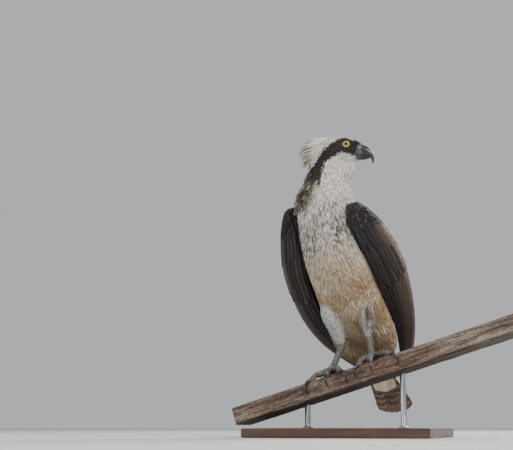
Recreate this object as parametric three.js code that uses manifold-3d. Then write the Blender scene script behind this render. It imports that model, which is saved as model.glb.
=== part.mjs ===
// A life-size osprey perched on a cut length of sloping timber, on a display stand.
// Millimetres, +Z up. The origin is the middle of the base's underside; the bird faces -Y and its left is +X.
import * as THREE from "three";
import { mergeVertices } from "three/addons/utils/BufferGeometryUtils.js";
import Module from "manifold-3d";

const wasm = await Module();
wasm.setup();

// Driving dimensions
const GAP = 0.3; // left between any two nodes
const PERCH_HEIGHT = 112; // top of the beam under the bird, above the floor
const PERCH_Y = -22; // middle of the beam, front to back
const BEAM = { width: 84, thick: 31, slopeDeg: 17, left: -200, right: 340 };
const BASE = { width: 320, depth: 250, thick: 16, bevel: 3 };
const ROD = { radius: 5, left: -72, right: 98 };

// The bird's own frame stands on the middle of the beam, symmetric about x = 0, before it leans and turns.
const BIRD = { x: 19, rollDeg: 8.5, yawDeg: 8 };
const HEAD = { x: -8, y: -43, z: 387, eyeForward: 27, eyeUp: 8.5, eyeRadius: 9 };
const TAIL = { length: 205, feathers: 10, featherWidth: 25, spreadDeg: 15 };
const SHOULDER_LIFT = 19;
const WING_FULLNESS = 15.5; // how far the right wing's side stands out beyond the left one's
const CLAW = { radius: 12.2, thick: 2.7 };

const PERCH_TOP = new THREE.Vector3(0, PERCH_Y, PERCH_HEIGHT);
const slope = THREE.MathUtils.degToRad(BEAM.slopeDeg);
const ALONG = new THREE.Vector3(Math.cos(slope), 0, Math.sin(slope));
const OFF_BEAM = new THREE.Vector3(-Math.sin(slope), 0, Math.cos(slope));
const FRONT = new THREE.Vector3(0, -1, 0);
const UP = new THREE.Vector3(0, 0, 1);
const SIDEWAYS = new THREE.Vector3(1, 0, 0);

// Small maths
const vec = (x, y, z) => new THREE.Vector3(x, y, z);
const at = (list) => new THREE.Vector3(...list);
const lerp = THREE.MathUtils.lerp;
const smooth = THREE.MathUtils.smoothstep;
const curve = (points) => new THREE.CatmullRomCurve3(points, false, "catmullrom", 0.5);

function seeded(seed) {
  let state = seed;
  return () => {
    state = (state * 1664525 + 1013904223) % 4294967296;
    return state / 4294967296;
  };
}

// A value read between the rows of a table whose first column is the position.
function between(rows, position, column) {
  const last = rows.length - 1;
  let i = 0;
  while (i < last - 1 && position > rows[i + 1][0]) i += 1;
  const share = (position - rows[i][0]) / (rows[i + 1][0] - rows[i][0]);
  const before = rows[Math.max(i - 1, 0)][column];
  const a = rows[i][column];
  const b = rows[i + 1][column];
  const after = rows[Math.min(i + 2, last)][column];
  const slopeA = (b - before) / 2;
  const slopeB = (after - a) / 2;
  const s2 = share * share;
  const s3 = s2 * share;
  return (
    a * (2 * s3 - 3 * s2 + 1) + b * (3 * s2 - 2 * s3) + slopeA * (s3 - 2 * s2 + share) + slopeB * (s3 - s2)
  );
}

const birdMatrix = new THREE.Matrix4()
  .makeTranslation(BIRD.x, PERCH_Y, PERCH_HEIGHT)
  .multiply(new THREE.Matrix4().makeRotationZ(THREE.MathUtils.degToRad(-BIRD.yawDeg)))
  .multiply(new THREE.Matrix4().makeRotationY(THREE.MathUtils.degToRad(-BIRD.rollDeg)));
const onPerch = (x, y, z) => vec(x, y, z).add(PERCH_TOP);

// Closed bodies
function skin(rings, startPoint, endPoint) {
  const count = rings[0].length;
  const points = rings.flat();
  const faces = [];
  for (let r = 0; r + 1 < rings.length; r += 1)
    for (let i = 0; i < count; i += 1) {
      const a = r * count + i;
      const b = r * count + ((i + 1) % count);
      faces.push([a, b, b + count], [a, b + count, a + count]);
    }
  const middle = (ring) => ring.reduce((sum, p) => sum.add(p), vec(0, 0, 0)).divideScalar(count);
  points.push(startPoint || middle(rings[0]), endPoint || middle(rings[rings.length - 1]));
  const last = (rings.length - 1) * count;
  for (let i = 0; i < count; i += 1) {
    const j = (i + 1) % count;
    faces.push([points.length - 2, j, i], [points.length - 1, last + i, last + j]);
  }
  return solid(points, faces);
}

function solid(points, faces) {
  const made = (list) =>
    new wasm.Manifold(
      new wasm.Mesh({
        numProp: 3,
        vertProperties: new Float32Array(points.flatMap((p) => [p.x, p.y, p.z])),
        triVerts: new Uint32Array(list.flat()),
      }),
    );
  const first = made(faces);
  return first.volume() > 0 ? first : made(faces.map(([a, b, c]) => [a, c, b]));
}

function solidOf(geometry) {
  const bare = new THREE.BufferGeometry().setAttribute("position", geometry.getAttribute("position"));
  if (geometry.index) bare.setIndex(geometry.index);
  const merged = mergeVertices(bare, 1e-3);
  return new wasm.Manifold(
    new wasm.Mesh({
      numProp: 3,
      vertProperties: merged.attributes.position.array,
      triVerts: new Uint32Array(merged.index.array),
    }),
  );
}

const union = (pieces) => pieces.reduce((whole, piece) => whole.add(piece));

function largest(whole) {
  return whole.decompose().reduce((best, one) => (one.volume() > best.volume() ? one : best));
}

function geometryOf(whole) {
  const mesh = whole.getMesh();
  const positions = new Float32Array(mesh.numVert * 3);
  for (let i = 0; i < mesh.numVert; i += 1)
    positions.set(mesh.vertProperties.subarray(i * mesh.numProp, i * mesh.numProp + 3), i * 3);
  return new THREE.BufferGeometry()
    .setAttribute("position", new THREE.BufferAttribute(positions, 3))
    .setIndex(new THREE.BufferAttribute(mesh.triVerts, 1));
}

// A ring of points round a centre, from two half-axes.
function oval(centre, axisA, axisB, a, b, sides) {
  return Array.from({ length: sides }, (_, i) => {
    const angle = (2 * Math.PI * i) / sides;
    return centre
      .clone()
      .addScaledVector(axisA, a * Math.cos(angle))
      .addScaledVector(axisB, b * Math.sin(angle));
  });
}

// A tapering round limb along a path that bends square to side; radii are half-widths, and grow swells it.
function limb({ path, radii, sides, side, grow = 0, flat = 1 }) {
  const line = curve(path);
  const rings = path.map((point, i) => {
    const tangent = line.getTangent(i / (path.length - 1));
    const other = vec(0, 0, 0).crossVectors(side, tangent).normalize();
    const across = vec(0, 0, 0).crossVectors(tangent, other).normalize();
    return oval(point, across, other, radii[i] + grow, radii[i] * flat + grow, sides);
  });
  const first = line.getTangent(0).multiplyScalar(-grow).add(path[0]);
  const last = line.getTangent(1).multiplyScalar(grow).add(path[path.length - 1]);
  return skin(rings, first, last);
}

// A feather: a thin closed blade along a path of {point, normal}, whose width swells and closes to a tip.
const BLADE = [
  [0, 0.55],
  [0.4, 0.96],
  [0.84, 0.86],
  [1, 0.24],
];
function blade(place, halfWidth, thick, tiltDeg = 0, shape = BLADE) {
  const tilt = THREE.MathUtils.degToRad(tiltDeg);
  const points = shape.map(([s]) => place(s));
  const rings = shape.map(([, width], i) => {
    const { point, normal } = points[i];
    const from = points[Math.max(i - 1, 0)].point;
    const to = points[Math.min(i + 1, points.length - 1)].point;
    const tangent = vec(0, 0, 0).subVectors(to, from).normalize();
    const level = vec(0, 0, 0).crossVectors(normal, tangent).normalize();
    const face = vec(0, 0, 0).crossVectors(tangent, level).normalize();
    const across = level.clone().multiplyScalar(Math.cos(tilt)).addScaledVector(face, Math.sin(tilt));
    const over = face.clone().multiplyScalar(Math.cos(tilt)).addScaledVector(level, -Math.sin(tilt));
    const half = halfWidth * width;
    return [
      [-half, thick / 2],
      [half, thick / 2],
      [half, -thick / 2],
      [-half, -thick / 2],
    ].map(([w, h]) => point.clone().addScaledVector(across, w).addScaledVector(over, h));
  });
  const points4 = rings.flat();
  const faces = [];
  for (let r = 0; r + 1 < rings.length; r += 1) {
    const a = r * 4;
    const b = a + 4;
    // The top and the bottom are split along the same diagonal.
    faces.push([a, a + 1, b + 1], [a, b + 1, b], [a + 3, b + 2, a + 2], [a + 3, b + 3, b + 2]);
    faces.push([a + 1, a + 2, b + 2], [a + 1, b + 2, b + 1], [a + 3, a, b], [a + 3, b, b + 3]);
  }
  const end = points4.length - 4;
  faces.push([0, 2, 1], [0, 3, 2], [end, end + 1, end + 2], [end, end + 2, end + 3]);
  return solid(points4, faces);
}

// Stand and perch
function box(width, depth, height, centre) {
  return solidOf(new THREE.BoxGeometry(width, depth, height).translate(centre.x, centre.y, centre.z));
}

function beamSolid(grow = 0) {
  const length = (BEAM.right - BEAM.left) / Math.cos(slope);
  const middle = (BEAM.right + BEAM.left) / 2;
  const geometry = new THREE.BoxGeometry(length + 2 * grow, BEAM.width + 2 * grow, BEAM.thick + 2 * grow);
  geometry.translate(middle / Math.cos(slope), 0, -BEAM.thick / 2);
  geometry.rotateY(-slope);
  geometry.translate(PERCH_TOP.x, PERCH_TOP.y, PERCH_TOP.z);
  return solidOf(geometry);
}

function standBase() {
  const halfWidth = BASE.width / 2 - BASE.bevel;
  const halfDepth = BASE.depth / 2 - BASE.bevel;
  const outline = new THREE.Shape();
  outline.moveTo(-halfWidth, -halfDepth);
  outline.lineTo(halfWidth, -halfDepth);
  outline.lineTo(halfWidth, halfDepth);
  outline.lineTo(-halfWidth, halfDepth);
  outline.closePath();
  const geometry = new THREE.ExtrudeGeometry(outline, {
    depth: BASE.thick - 2 * BASE.bevel,
    bevelThickness: BASE.bevel,
    bevelSize: BASE.bevel,
    bevelSegments: 2,
  });
  geometry.translate(0, 0, BASE.bevel);
  return solidOf(geometry);
}

function standRod(x, beam) {
  const underside = PERCH_HEIGHT + x * Math.tan(slope) - BEAM.thick / Math.cos(slope);
  const bottom = BASE.thick + GAP;
  const top = underside + 2 * ROD.radius;
  const rod = new THREE.CylinderGeometry(ROD.radius, ROD.radius, top - bottom, 20);
  rod.rotateX(Math.PI / 2);
  rod.translate(x, PERCH_Y, (top + bottom) / 2);
  return solidOf(rod).subtract(beam);
}

// Trunk and neck: position down the spine, then the spine's place and the half-width and half-depth.
const TRUNK_SIDES = 22;
const TRUNK = [
  [0, 0, 92, 26, 39, 9],
  [1, 0, 76, 44, 57, 23],
  [2, 0, 57, 74, 62, 36],
  [3, 0, 35, 112, 61, 46],
  [4, 0, 15, 150, 60, 53],
  [5, 0, -2, 190, 62, 57],
  [6, 0, -16, 228, 62, 57],
  [7, 0, -27, 262, 60, 53],
  [8, 1, -34, 290, 57, 48],
  [9, 5, -38, 316, 50, 44],
  [10, 12, -40, 340, 43, 40],
  [11, 21, -42, 362, 37, 35],
  [12, 29, -43, 382, 24, 24],
];
function trunkPoint(position) {
  return vec(between(TRUNK, position, 1), between(TRUNK, position, 2), between(TRUNK, position, 3));
}
function trunkSolid(grow = 0) {
  const last = TRUNK[TRUNK.length - 1][0];
  const rings = [];
  for (let position = 0; position <= last; position += 1) {
    const centre = trunkPoint(position);
    const ahead = trunkPoint(Math.min(position + 0.2, last));
    const behind = trunkPoint(Math.max(position - 0.2, 0));
    const tangent = ahead.sub(behind).normalize();
    const back = vec(0, 0, 0).crossVectors(tangent, SIDEWAYS).normalize();
    const ring = oval(
      centre,
      SIDEWAYS,
      back,
      between(TRUNK, position, 4) + grow,
      between(TRUNK, position, 5) + grow,
      TRUNK_SIDES,
    );
    rings.push(ring.map((p) => p.applyMatrix4(birdMatrix)));
  }
  return skin(rings);
}

// Head, looking along +X: forward place, half-width, half-height, height of the middle.
const HEAD_ROWS = [
  [-50, 9, 10, -6],
  [-42, 17, 17.5, -4.5],
  [-28, 23, 23, -0.5],
  [-12, 26, 25, 2.5],
  [6, 25.5, 25.2, 3.2],
  [22, 22.5, 23.2, 3.2],
  [34, 17.5, 21, 2],
  [40, 14.8, 18.9, 0.6],
  [44.2, 12.6, 17, -0.9],
];
const headPoint = (forward, side, up) => onPerch(HEAD.x + forward, HEAD.y + side, HEAD.z + up);
function headSolid() {
  const first = HEAD_ROWS[0][0];
  const end = HEAD_ROWS[HEAD_ROWS.length - 1][0];
  const steps = 11;
  const rings = Array.from({ length: steps + 1 }, (_, i) => {
    const forward = lerp(first, end, i / steps);
    const centre = headPoint(forward, 0, between(HEAD_ROWS, forward, 3));
    const halfHeight = between(HEAD_ROWS, forward, 2);
    return oval(centre, vec(0, 1, 0), UP, between(HEAD_ROWS, forward, 1), halfHeight, 18);
  });
  return skin(rings);
}

const eyeSide = 12.4;
function eyeSolid(side, grow = 0) {
  const eye = new THREE.SphereGeometry(HEAD.eyeRadius + grow, 14, 8);
  const centre = headPoint(HEAD.eyeForward, side * eyeSide, HEAD.eyeUp);
  return solidOf(eye.translate(centre.x, centre.y, centre.z));
}
// The lid stands round the eye as a low rim.
function lidSolid(side) {
  const rim = new THREE.TorusGeometry(HEAD.eyeRadius - 1.4, 1.6, 5, 14);
  rim.rotateX(Math.PI / 2);
  rim.rotateZ(side * -0.2);
  const centre = headPoint(HEAD.eyeForward + 0.9, side * (eyeSide + 5.8), HEAD.eyeUp);
  return solidOf(rim.translate(centre.x, centre.y, centre.z));
}
// The throat runs from under the bill down into the front of the neck.
function throatSolid() {
  const path = [
    [36, -8],
    [31, -20],
    [24, -36],
    [9, -60],
  ].map(([f, u]) => headPoint(f, 0, u));
  return limb({ path, radii: [8, 12.5, 14.5, 12], sides: 14, side: vec(0, 1, 0) });
}
// The brow is a low ridge from the lore back over the eye.
function browSolid(side) {
  const path = [
    [41, 12, 10],
    [35, 16.5, 15.5],
    [26, 19.5, 18.6],
    [13, 21.5, 17.5],
  ].map(([f, s, u]) => headPoint(f, side * s, u));
  return limb({ path, radii: [1.5, 3, 3.4, 1.8], sides: 6, side: UP });
}

// Bill: each row gives the ridge and the cutting edge, as forward and up, and the half-width.
const UPPER_BILL = [
  [44.6, 15.6, 44.6, -10.4, 12],
  [49, 12.4, 49, -11, 10.6],
  [54, 9.4, 54, -11.3, 9.2],
  [60, 6.6, 59, -11.5, 7.8],
  [65.4, 2.6, 63, -11.9, 6.3],
  [70, -3.4, 66, -13.2, 4.8],
  [73, -10.4, 68.2, -16, 3.4],
  [74, -17.6, 70, -20.6, 2.2],
];
const LOWER_BILL = [
  [44.6, -10.9, 44.6, -17.7, 10],
  [50, -11.6, 50, -17.8, 8.4],
  [56, -11.9, 56, -17.2, 6.4],
  [61, -12.2, 61, -16, 4.2],
  [64, -12.7, 64, -14.6, 2.4],
];
function billSolid(rows, tip) {
  const rings = rows.map(([f1, u1, f2, u2, width]) => {
    const top = headPoint(f1, 0, u1);
    const bottom = headPoint(f2, 0, u2);
    const centre = top.clone().lerp(bottom, 0.5);
    const half = top.clone().sub(bottom).multiplyScalar(0.5);
    return oval(centre, vec(0, 1, 0), half, width, 1, 12);
  });
  return skin(rings, null, tip);
}
function nostrilSolid(side) {
  const path = [headPoint(53, side * 6.5, 0.5), headPoint(54.6, side * 11, 3)];
  return limb({ path, radii: [1.1, 1.1], sides: 6, side: UP, flat: 0.6 });
}

// The crest: locks rooted over the nape, tapered and lying back.
// Each row gives where its locks root and end, as forward and up.
const CREST_ROWS = [
  { root: [-16, 24], tip: [-52, 21] },
  { root: [-25, 18], tip: [-61, 6] },
  { root: [-32, 6], tip: [-62, -9] },
  { root: [-34, -7], tip: [-55, -25] },
];
function crestLocks() {
  const random = seeded(7);
  return CREST_ROWS.flatMap(({ root, tip }, row) =>
    Array.from({ length: 4 }, (_, i) => {
      const round = THREE.MathUtils.degToRad(lerp(-60, 60, i / 3) + (row % 2) * 14 - 7);
      const reach = 0.86 + 0.22 * random();
      const sway = (random() - 0.5) * 6;
      const place = (s) => {
        const side = Math.sin(round) * (18 - 5 * s) + sway * s * s;
        const forward = lerp(root[0], tip[0], s * reach);
        const up = lerp(root[1], tip[1], s * reach) * Math.cos(round) ** 0.3 + 3 * Math.sin(Math.PI * s);
        return {
          point: headPoint(forward, side, up),
          normal: vec(-0.45, Math.sin(round), 0.9 * Math.cos(round)).normalize(),
        };
      };
      const shape = [
        [0, 1],
        [0.5, 0.95],
        [1, 0.12],
      ];
      return blade(place, 6.8, 1.6, (random() - 0.5) * 24, shape);
    }),
  );
}

// Wing, in the bird's frame for the left side: four edges run from the wrist to the tip.
const WING_ROWS = [
  // leading edge
  [[57, -64, 280], [50, -58, 238], [60, -8, 165], [56, 75, 74], [20, 176, -14]],
  // outer side
  [[69, -46, 286], [91, -14, 238], [103, 36, 164], [84, 98, 74], [26, 180, -13]],
  // outer back
  [[58, -22, 287], [73, 34, 252], [78, 84, 180], [59, 124, 86], [24, 184, -10]],
  // back edge
  [[28, 2, 286], [9, 44, 256], [3, 84, 184], [5, 122, 90], [12, 186, -8]],
].map((points) => curve(points.map(at)));
function wingPoint(u, t) {
  return curve(WING_ROWS.map((row) => row.getPoint(t))).getPoint(u);
}
function wingNormal(u, t) {
  const step = 0.02;
  const acrossLow = wingPoint(Math.max(u - step, 0), t);
  const across = wingPoint(Math.min(u + step, 1), t).sub(acrossLow);
  const downLow = wingPoint(u, Math.max(t - step, 0));
  const down = wingPoint(u, Math.min(t + step, 1)).sub(downLow);
  return vec(0, 0, 0).crossVectors(down, across).normalize();
}
const WING_CORE_END = 0.66;
// The arm is thick where it meets the body and thins to a shell behind the coverts.
function wingThickness(u, t) {
  const arm = lerp(46, 4.2, smooth(t, 0.2, 0.56));
  const edge = lerp(9, 2.4, smooth(t, 0.1, 0.6));
  return lerp(edge, arm, Math.sin(Math.PI * Math.min(Math.max(u, 0), 1)) ** 0.7);
}
function wingCore() {
  const columns = 8;
  const rows = 8;
  const rings = [];
  for (let r = 0; r <= rows; r += 1) {
    const t = lerp(0, WING_CORE_END, r / rows);
    const outer = [];
    const inner = [];
    for (let c = 0; c < columns; c += 1) {
      const u = c / (columns - 1);
      const p = wingPoint(u, t);
      outer.push(p.clone());
      inner.unshift(p.addScaledVector(wingNormal(u, t), -wingThickness(u, t)));
    }
    rings.push([...outer, ...inner]);
  }
  // The wrist is rounded off by a smaller ring and a crown point above the first one.
  const middle = rings[0].reduce((sum, p) => sum.add(p), vec(0, 0, 0)).divideScalar(rings[0].length);
  const crown = (share, rise) =>
    rings[1].map((_, i) => rings[0][i].clone().lerp(middle, share).add(vec(0, -1, rise)));
  return skin([crown(0.45, 6), crown(0.14, 3.4), ...rings.slice(1)], middle.clone().add(vec(0, -1, 7)));
}

// Tiers of wing feathers, from the wrist down: how many, where they root and end, and how wide they are.
const WING_TIERS = [
  {
    name: "primaries", count: 5, u: [0.04, 0.36], root: [0.44, 0.5],
    tip: [1, 0.84], half: 10.5, lift: 0.6, thick: 1,
    tilt: 6,
  },
  {
    name: "secondaries", count: 6, u: [0.36, 0.93], root: [0.46, 0.4],
    tip: [0.83, 0.7], half: 11.5, lift: 1, thick: 0.9,
    tilt: 6,
  },
  {
    name: "tertials", count: 2, u: [0.84, 0.97], root: [0.36, 0.34],
    tip: [0.68, 0.74], half: 11, lift: 2.6, thick: 0.9,
    tilt: 5,
  },
  {
    name: "primary coverts", count: 2, u: [0.06, 0.22], root: [0.24, 0.26],
    tip: [0.56, 0.54], half: 10, lift: 2, thick: 0.9,
    tilt: 5,
  },
  {
    name: "greater coverts", count: 5, u: [0.28, 0.92], root: [0.24, 0.22],
    tip: [0.5, 0.46], half: 11.5, lift: 2.2, thick: 0.9,
    tilt: 5,
  },
  {
    name: "median coverts", count: 5, u: [0.12, 0.9], root: [0.13, 0.13],
    tip: [0.36, 0.35], half: 11, lift: 2.6, thick: 1,
    tilt: 5,
  },
  {
    name: "lesser coverts", count: 4, u: [0.2, 0.84], root: [0.05, 0.06],
    tip: [0.22, 0.22], half: 10.5, lift: 2.8, thick: 1.1,
    tilt: 5,
  },
];
function wingFeathers(random) {
  return WING_TIERS.flatMap((tier) =>
    Array.from({ length: tier.count }, (_, i) => {
      const share = tier.count > 1 ? i / (tier.count - 1) : 0;
      const u = lerp(tier.u[0], tier.u[1], share);
      const root = lerp(tier.root[0], tier.root[1], share);
      const tip = lerp(tier.tip[0], tier.tip[1], share) + (random() - 0.5) * 0.012;
      const place = (s) => {
        const t = lerp(root, tip, s);
        const normal = wingNormal(u, Math.min(t, 0.97));
        const height = lerp(-2.2, tier.lift, smooth(s, 0, 0.35));
        return { point: wingPoint(u, t).addScaledVector(normal, height), normal };
      };
      const narrowing = 1 - 0.45 * smooth(tip, 0.8, 1);
      return blade(place, tier.half * narrowing, tier.thick, tier.tilt);
    }),
  );
}

// The right wing stands further out from the body, and its shoulder is held a little higher.
function poseRightWing(place) {
  const low = smooth(place[2], -30, 130);
  const high = 1 - 0.85 * smooth(place[2], 190, 300);
  place[0] -= WING_FULLNESS * low * high * smooth(-place[0], 50, 86);
  place[2] += SHOULDER_LIFT * smooth(place[2], 120, 290);
}

function wingSolid(side, cutters) {
  const random = seeded(side > 0 ? 11 : 23);
  // The two wings meet down the middle of the back, a gap apart.
  let wing = union([wingCore(), ...wingFeathers(random)]).trimByPlane([1, 0, 0], GAP);
  if (side < 0) wing = wing.mirror([1, 0, 0]).warp(poseRightWing);
  wing = wing.transform(birdMatrix.elements);
  return largest(cutters.reduce((rest, cutter) => rest.subtract(cutter), wing));
}

// Tail: ten feathers fanned from one root, the middle pair on top, with coverts over and under them.
const TAIL_ROOT = vec(0, 52, 58);
const TAIL_DOWN = vec(-0.05, 0.8, -0.6).normalize();
const TAIL_BACK = vec(0, 0.6, 0.8).normalize();
function tailPlace(reach, angle, height, sag = 0) {
  return TAIL_ROOT.clone()
    .addScaledVector(TAIL_DOWN, reach * Math.cos(angle))
    .addScaledVector(SIDEWAYS, reach * Math.sin(angle))
    .addScaledVector(TAIL_BACK, height + sag);
}
function tailFan({ count, reach, start, half, height, step, spreadDeg, thick }) {
  return Array.from({ length: count }, (_, i) => {
    const fromMiddle = i - (count - 1) / 2;
    const angle = (THREE.MathUtils.degToRad(spreadDeg) * fromMiddle) / (count - 1);
    const tier = height - step * Math.abs(fromMiddle) ** 1.1;
    const length = reach * (1 - 0.0025 * fromMiddle ** 2);
    const place = (s) => ({
      point: tailPlace(lerp(start, length, s), angle, tier, -5 * s * s + 3 * s),
      normal: TAIL_BACK,
    });
    const shape = [
      [0, 0.5],
      [0.6, 0.95],
      [0.93, 0.97],
      [1, 0.6],
    ];
    return blade(place, half, thick, Math.sign(fromMiddle) * 4.5, shape);
  });
}
function tailSolid(trunk) {
  const rings = [
    [2, 14, 9],
    [30, 24, 12],
    [70, 24, 7],
    [104, 20, 2.6],
  ].map(([reach, width, depth]) => oval(tailPlace(reach, 0, 1), SIDEWAYS, TAIL_BACK, width, depth, 12));
  const spreadDeg = TAIL.spreadDeg;
  const feathers = tailFan({
    count: TAIL.feathers,
    reach: TAIL.length,
    start: 62,
    half: TAIL.featherWidth / 2,
    height: 2.2,
    step: 0.75,
    spreadDeg,
    thick: 0.9,
  });
  const upper = tailFan({
    count: 4, reach: 112, start: 40, half: 12, height: 8.5, step: 1.4, spreadDeg: spreadDeg * 1.2, thick: 1.1,
  });
  const lower = tailFan({
    count: 4, reach: 122, start: 40, half: 12, height: -7.5, step: -1.2, spreadDeg: spreadDeg * 1.2, thick: 1.1,
  });
  const tail = union([skin(rings), ...feathers, ...upper, ...lower]).transform(birdMatrix.elements);
  return largest(tail.subtract(trunk));
}

// Legs: hip and ankle in the bird's stance, foot on the beam.
const LEGS = {
  right: {
    hip: [-34, 12, 134],
    knee: [-29, -6, 102],
    ankle: [-12, 16, 49],
    foot: [-22, -14],
    thigh: [19, 18, 15.5, 12, 8.5],
  },
  left: {
    hip: [33, 12, 140],
    knee: [38, -6, 110],
    ankle: [37, 15, 60],
    foot: [52, -14],
    thigh: [15, 14, 12, 10, 7.5],
  },
};
const TOES = {
  inner: { turnDeg: -38, length: 40, drop: 8, claw: 1, turn: 150 },
  middle: { turnDeg: 2, length: 43, drop: 8, claw: 1, turn: 155 },
  outer: { turnDeg: 56, length: 45, drop: 6, claw: 1.02, turn: 150 },
  hind: { turnDeg: 186, length: 30, drop: 0, claw: 1.15, turn: 78 },
};
const PALM = { radius: 9.5, height: 8.5 };
const TOE_RADII = [5.6, 5.2, 5.6, 4.6, 4.6, 3.4];

const footPoint = (leg) => onPerch(leg.foot[0], leg.foot[1], leg.foot[0] * Math.tan(slope));
function thighSolid(leg, grow = 0) {
  const path = [
    onPerch(...leg.hip),
    onPerch(...leg.knee),
    onPerch(...leg.knee).lerp(onPerch(...leg.ankle), 0.5),
    onPerch(...leg.knee).lerp(onPerch(...leg.ankle), 0.85),
    onPerch(...leg.ankle).add(vec(0, -1.5, -3)),
  ];
  return limb({ path, radii: leg.thigh, sides: 12, side: SIDEWAYS, grow });
}
function tarsusSolid(leg, grow = 0) {
  const foot = footPoint(leg).addScaledVector(OFF_BEAM, PALM.height);
  const ankle = onPerch(...leg.ankle);
  const path = [ankle.clone().add(vec(0, 1, 3)), ankle, ankle.clone().lerp(foot, 0.25)];
  path.push(ankle.clone().lerp(foot, 0.6), ankle.clone().lerp(foot, 0.9), foot);
  const palm = new THREE.SphereGeometry(PALM.radius + grow, 12, 8).translate(foot.x, foot.y, foot.z);
  const shank = limb({ path, radii: [6.4, 6.8, 5.4, 5.2, 6.4, 7], sides: 10, side: SIDEWAYS, grow });
  return shank.add(solidOf(palm));
}
// A toe arches off the palm and bends down at its end; the claw carries on from there round an arc.
function toePath(leg, toe, mirror) {
  const turn = THREE.MathUtils.degToRad(toe.turnDeg * mirror);
  const heading = FRONT.clone().multiplyScalar(Math.cos(turn)).addScaledVector(ALONG, Math.sin(turn));
  const start = footPoint(leg);
  const heights = [8.5, 9.6, 8.2, 8.4, 7.4, 7];
  const path = heights.map((height, i) => {
    const share = i / (heights.length - 1);
    const fall = toe.drop * smooth(share, 0.6, 1);
    return start
      .clone()
      .addScaledVector(heading, lerp(5, toe.length, share))
      .addScaledVector(OFF_BEAM, height - fall);
  });
  return { path, heading };
}
function toeSolid(leg, toe, mirror, grow = 0) {
  const { path, heading } = toePath(leg, toe, mirror);
  const side = vec(0, 0, 0).crossVectors(heading, OFF_BEAM);
  return limb({ path, radii: TOE_RADII, sides: 9, side, grow, flat: 0.92 });
}
function clawSolid(leg, toe, mirror) {
  const { path, heading } = toePath(leg, toe, mirror);
  const end = path[path.length - 1];
  const radius = (toe.turn < 100 ? 1.55 : 1) * CLAW.radius * toe.claw;
  const pitch = THREE.MathUtils.degToRad(toe.drop > 0 ? 14 : -12);
  const steps = 8;
  const points = [];
  const radii = [];
  let place = end.clone().addScaledVector(heading, -1.5).addScaledVector(OFF_BEAM, 1);
  const stride = (radius * THREE.MathUtils.degToRad(toe.turn)) / steps;
  for (let i = 0; i <= steps; i += 1) {
    const angle = pitch + THREE.MathUtils.degToRad(toe.turn) * (i / steps);
    points.push(place.clone());
    radii.push(CLAW.thick * (1 - (i / steps) ** 1.6) + 0.22);
    place = place
      .clone()
      .addScaledVector(heading, stride * Math.cos(angle))
      .addScaledVector(OFF_BEAM, -stride * Math.sin(angle));
  }
  const side = vec(0, 0, 0).crossVectors(heading, OFF_BEAM);
  return limb({ path: points, radii, sides: 7, side });
}

// Colours
const COLOURS = {
  white: [0xcfc8bb, 0.85],
  belly: [0xb9ab97, 0.85],
  brown: [0x2a2422, 0.7],
  tail: [0x5a4a3c, 0.75],
  bill: [0x22262b, 0.35],
  eye: [0xd9b41f, 0.15],
  skin: [0x8f958f, 0.6],
  claw: [0x121214, 0.25],
  timber: [0x6e5e50, 0.9],
  base: [0x3b2c22, 0.5],
  steel: [0x9a9c9e, 0.35],
};

const bird = new THREE.Group();
function add(name, whole, colour) {
  const [hex, roughness] = COLOURS[colour];
  const metalness = colour === "steel" ? 0.9 : 0;
  const material = new THREE.MeshStandardMaterial({ color: hex, roughness, metalness });
  const mesh = new THREE.Mesh(geometryOf(whole), material);
  mesh.name = name;
  bird.add(mesh);
}

// Stand
const beam = beamSolid();
const beamGrown = beamSolid(GAP);
add("stand_base", standBase(), "base");
add("stand_rod_left", standRod(ROD.right, beamGrown), "steel");
add("stand_rod_right", standRod(ROD.left, beamGrown), "steel");
add("perch_beam", beam, "timber");

// Trunk, neck and head are one form parted by two thin cuts square to the neck.
const sides = { left: 1, right: -1 };
const eyesGrown = union([eyeSolid(1, GAP), eyeSolid(-1, GAP)]);
const lidsAndBrows = [lidSolid(1), lidSolid(-1), browSolid(1), browSolid(-1)];
const headForms = [headSolid(), throatSolid(), ...crestLocks(), ...lidsAndBrows];
const body = trunkSolid().add(union(headForms));
const neckUp = vec(0.14, -0.18, 1).normalize();
const headCut = onPerch(-16, -43, 358).dot(neckUp);
const neckCut = onPerch(-26, -40, 292).dot(neckUp);
const above = (whole, height) => whole.trimByPlane(neckUp.toArray(), height);
const below = (whole, height) => whole.trimByPlane(neckUp.clone().negate().toArray(), -height);
const head = largest(above(body, headCut + GAP).subtract(eyesGrown));
const neck = largest(below(above(body, neckCut + GAP), headCut));
const torso = largest(below(body, neckCut));
add("head", head, "white");
add("neck", neck, "white");
add("torso", torso, "belly");
add("eye_left", eyeSolid(1), "eye");
add("eye_right", eyeSolid(-1), "eye");
const nostrils = nostrilSolid(1).add(nostrilSolid(-1));
add("bill_upper", largest(billSolid(UPPER_BILL, headPoint(72.4, 0, -27.6)).subtract(nostrils)), "bill");
add("bill_lower", billSolid(LOWER_BILL, headPoint(65.2, 0, -13.6)), "bill");

const trunkGrown = trunkSolid(GAP);
add("tail", tailSolid(trunkGrown), "tail");
for (const [side, sign] of Object.entries(sides)) {
  add("wing_" + side, wingSolid(sign, [trunkGrown]), "brown");
  const leg = LEGS[side];
  add("thigh_" + side, largest(thighSolid(leg).subtract(trunkGrown)), "white");
  const tarsus = tarsusSolid(leg).subtract(thighSolid(leg, GAP)).subtract(beamGrown);
  add("tarsus_" + side, largest(tarsus), "skin");
  let earlier = tarsusSolid(leg, GAP).add(beamGrown);
  for (const [name, toe] of Object.entries(TOES)) {
    const whole = largest(toeSolid(leg, toe, sign).subtract(earlier));
    add("toe_" + side + "_" + name, whole, "skin");
    const grown = toeSolid(leg, toe, sign, GAP);
    const claw = largest(clawSolid(leg, toe, sign).subtract(grown).subtract(beamGrown));
    add("claw_" + side + "_" + name, claw, "claw");
    earlier = earlier.add(grown);
  }
}

export default bird;
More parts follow.
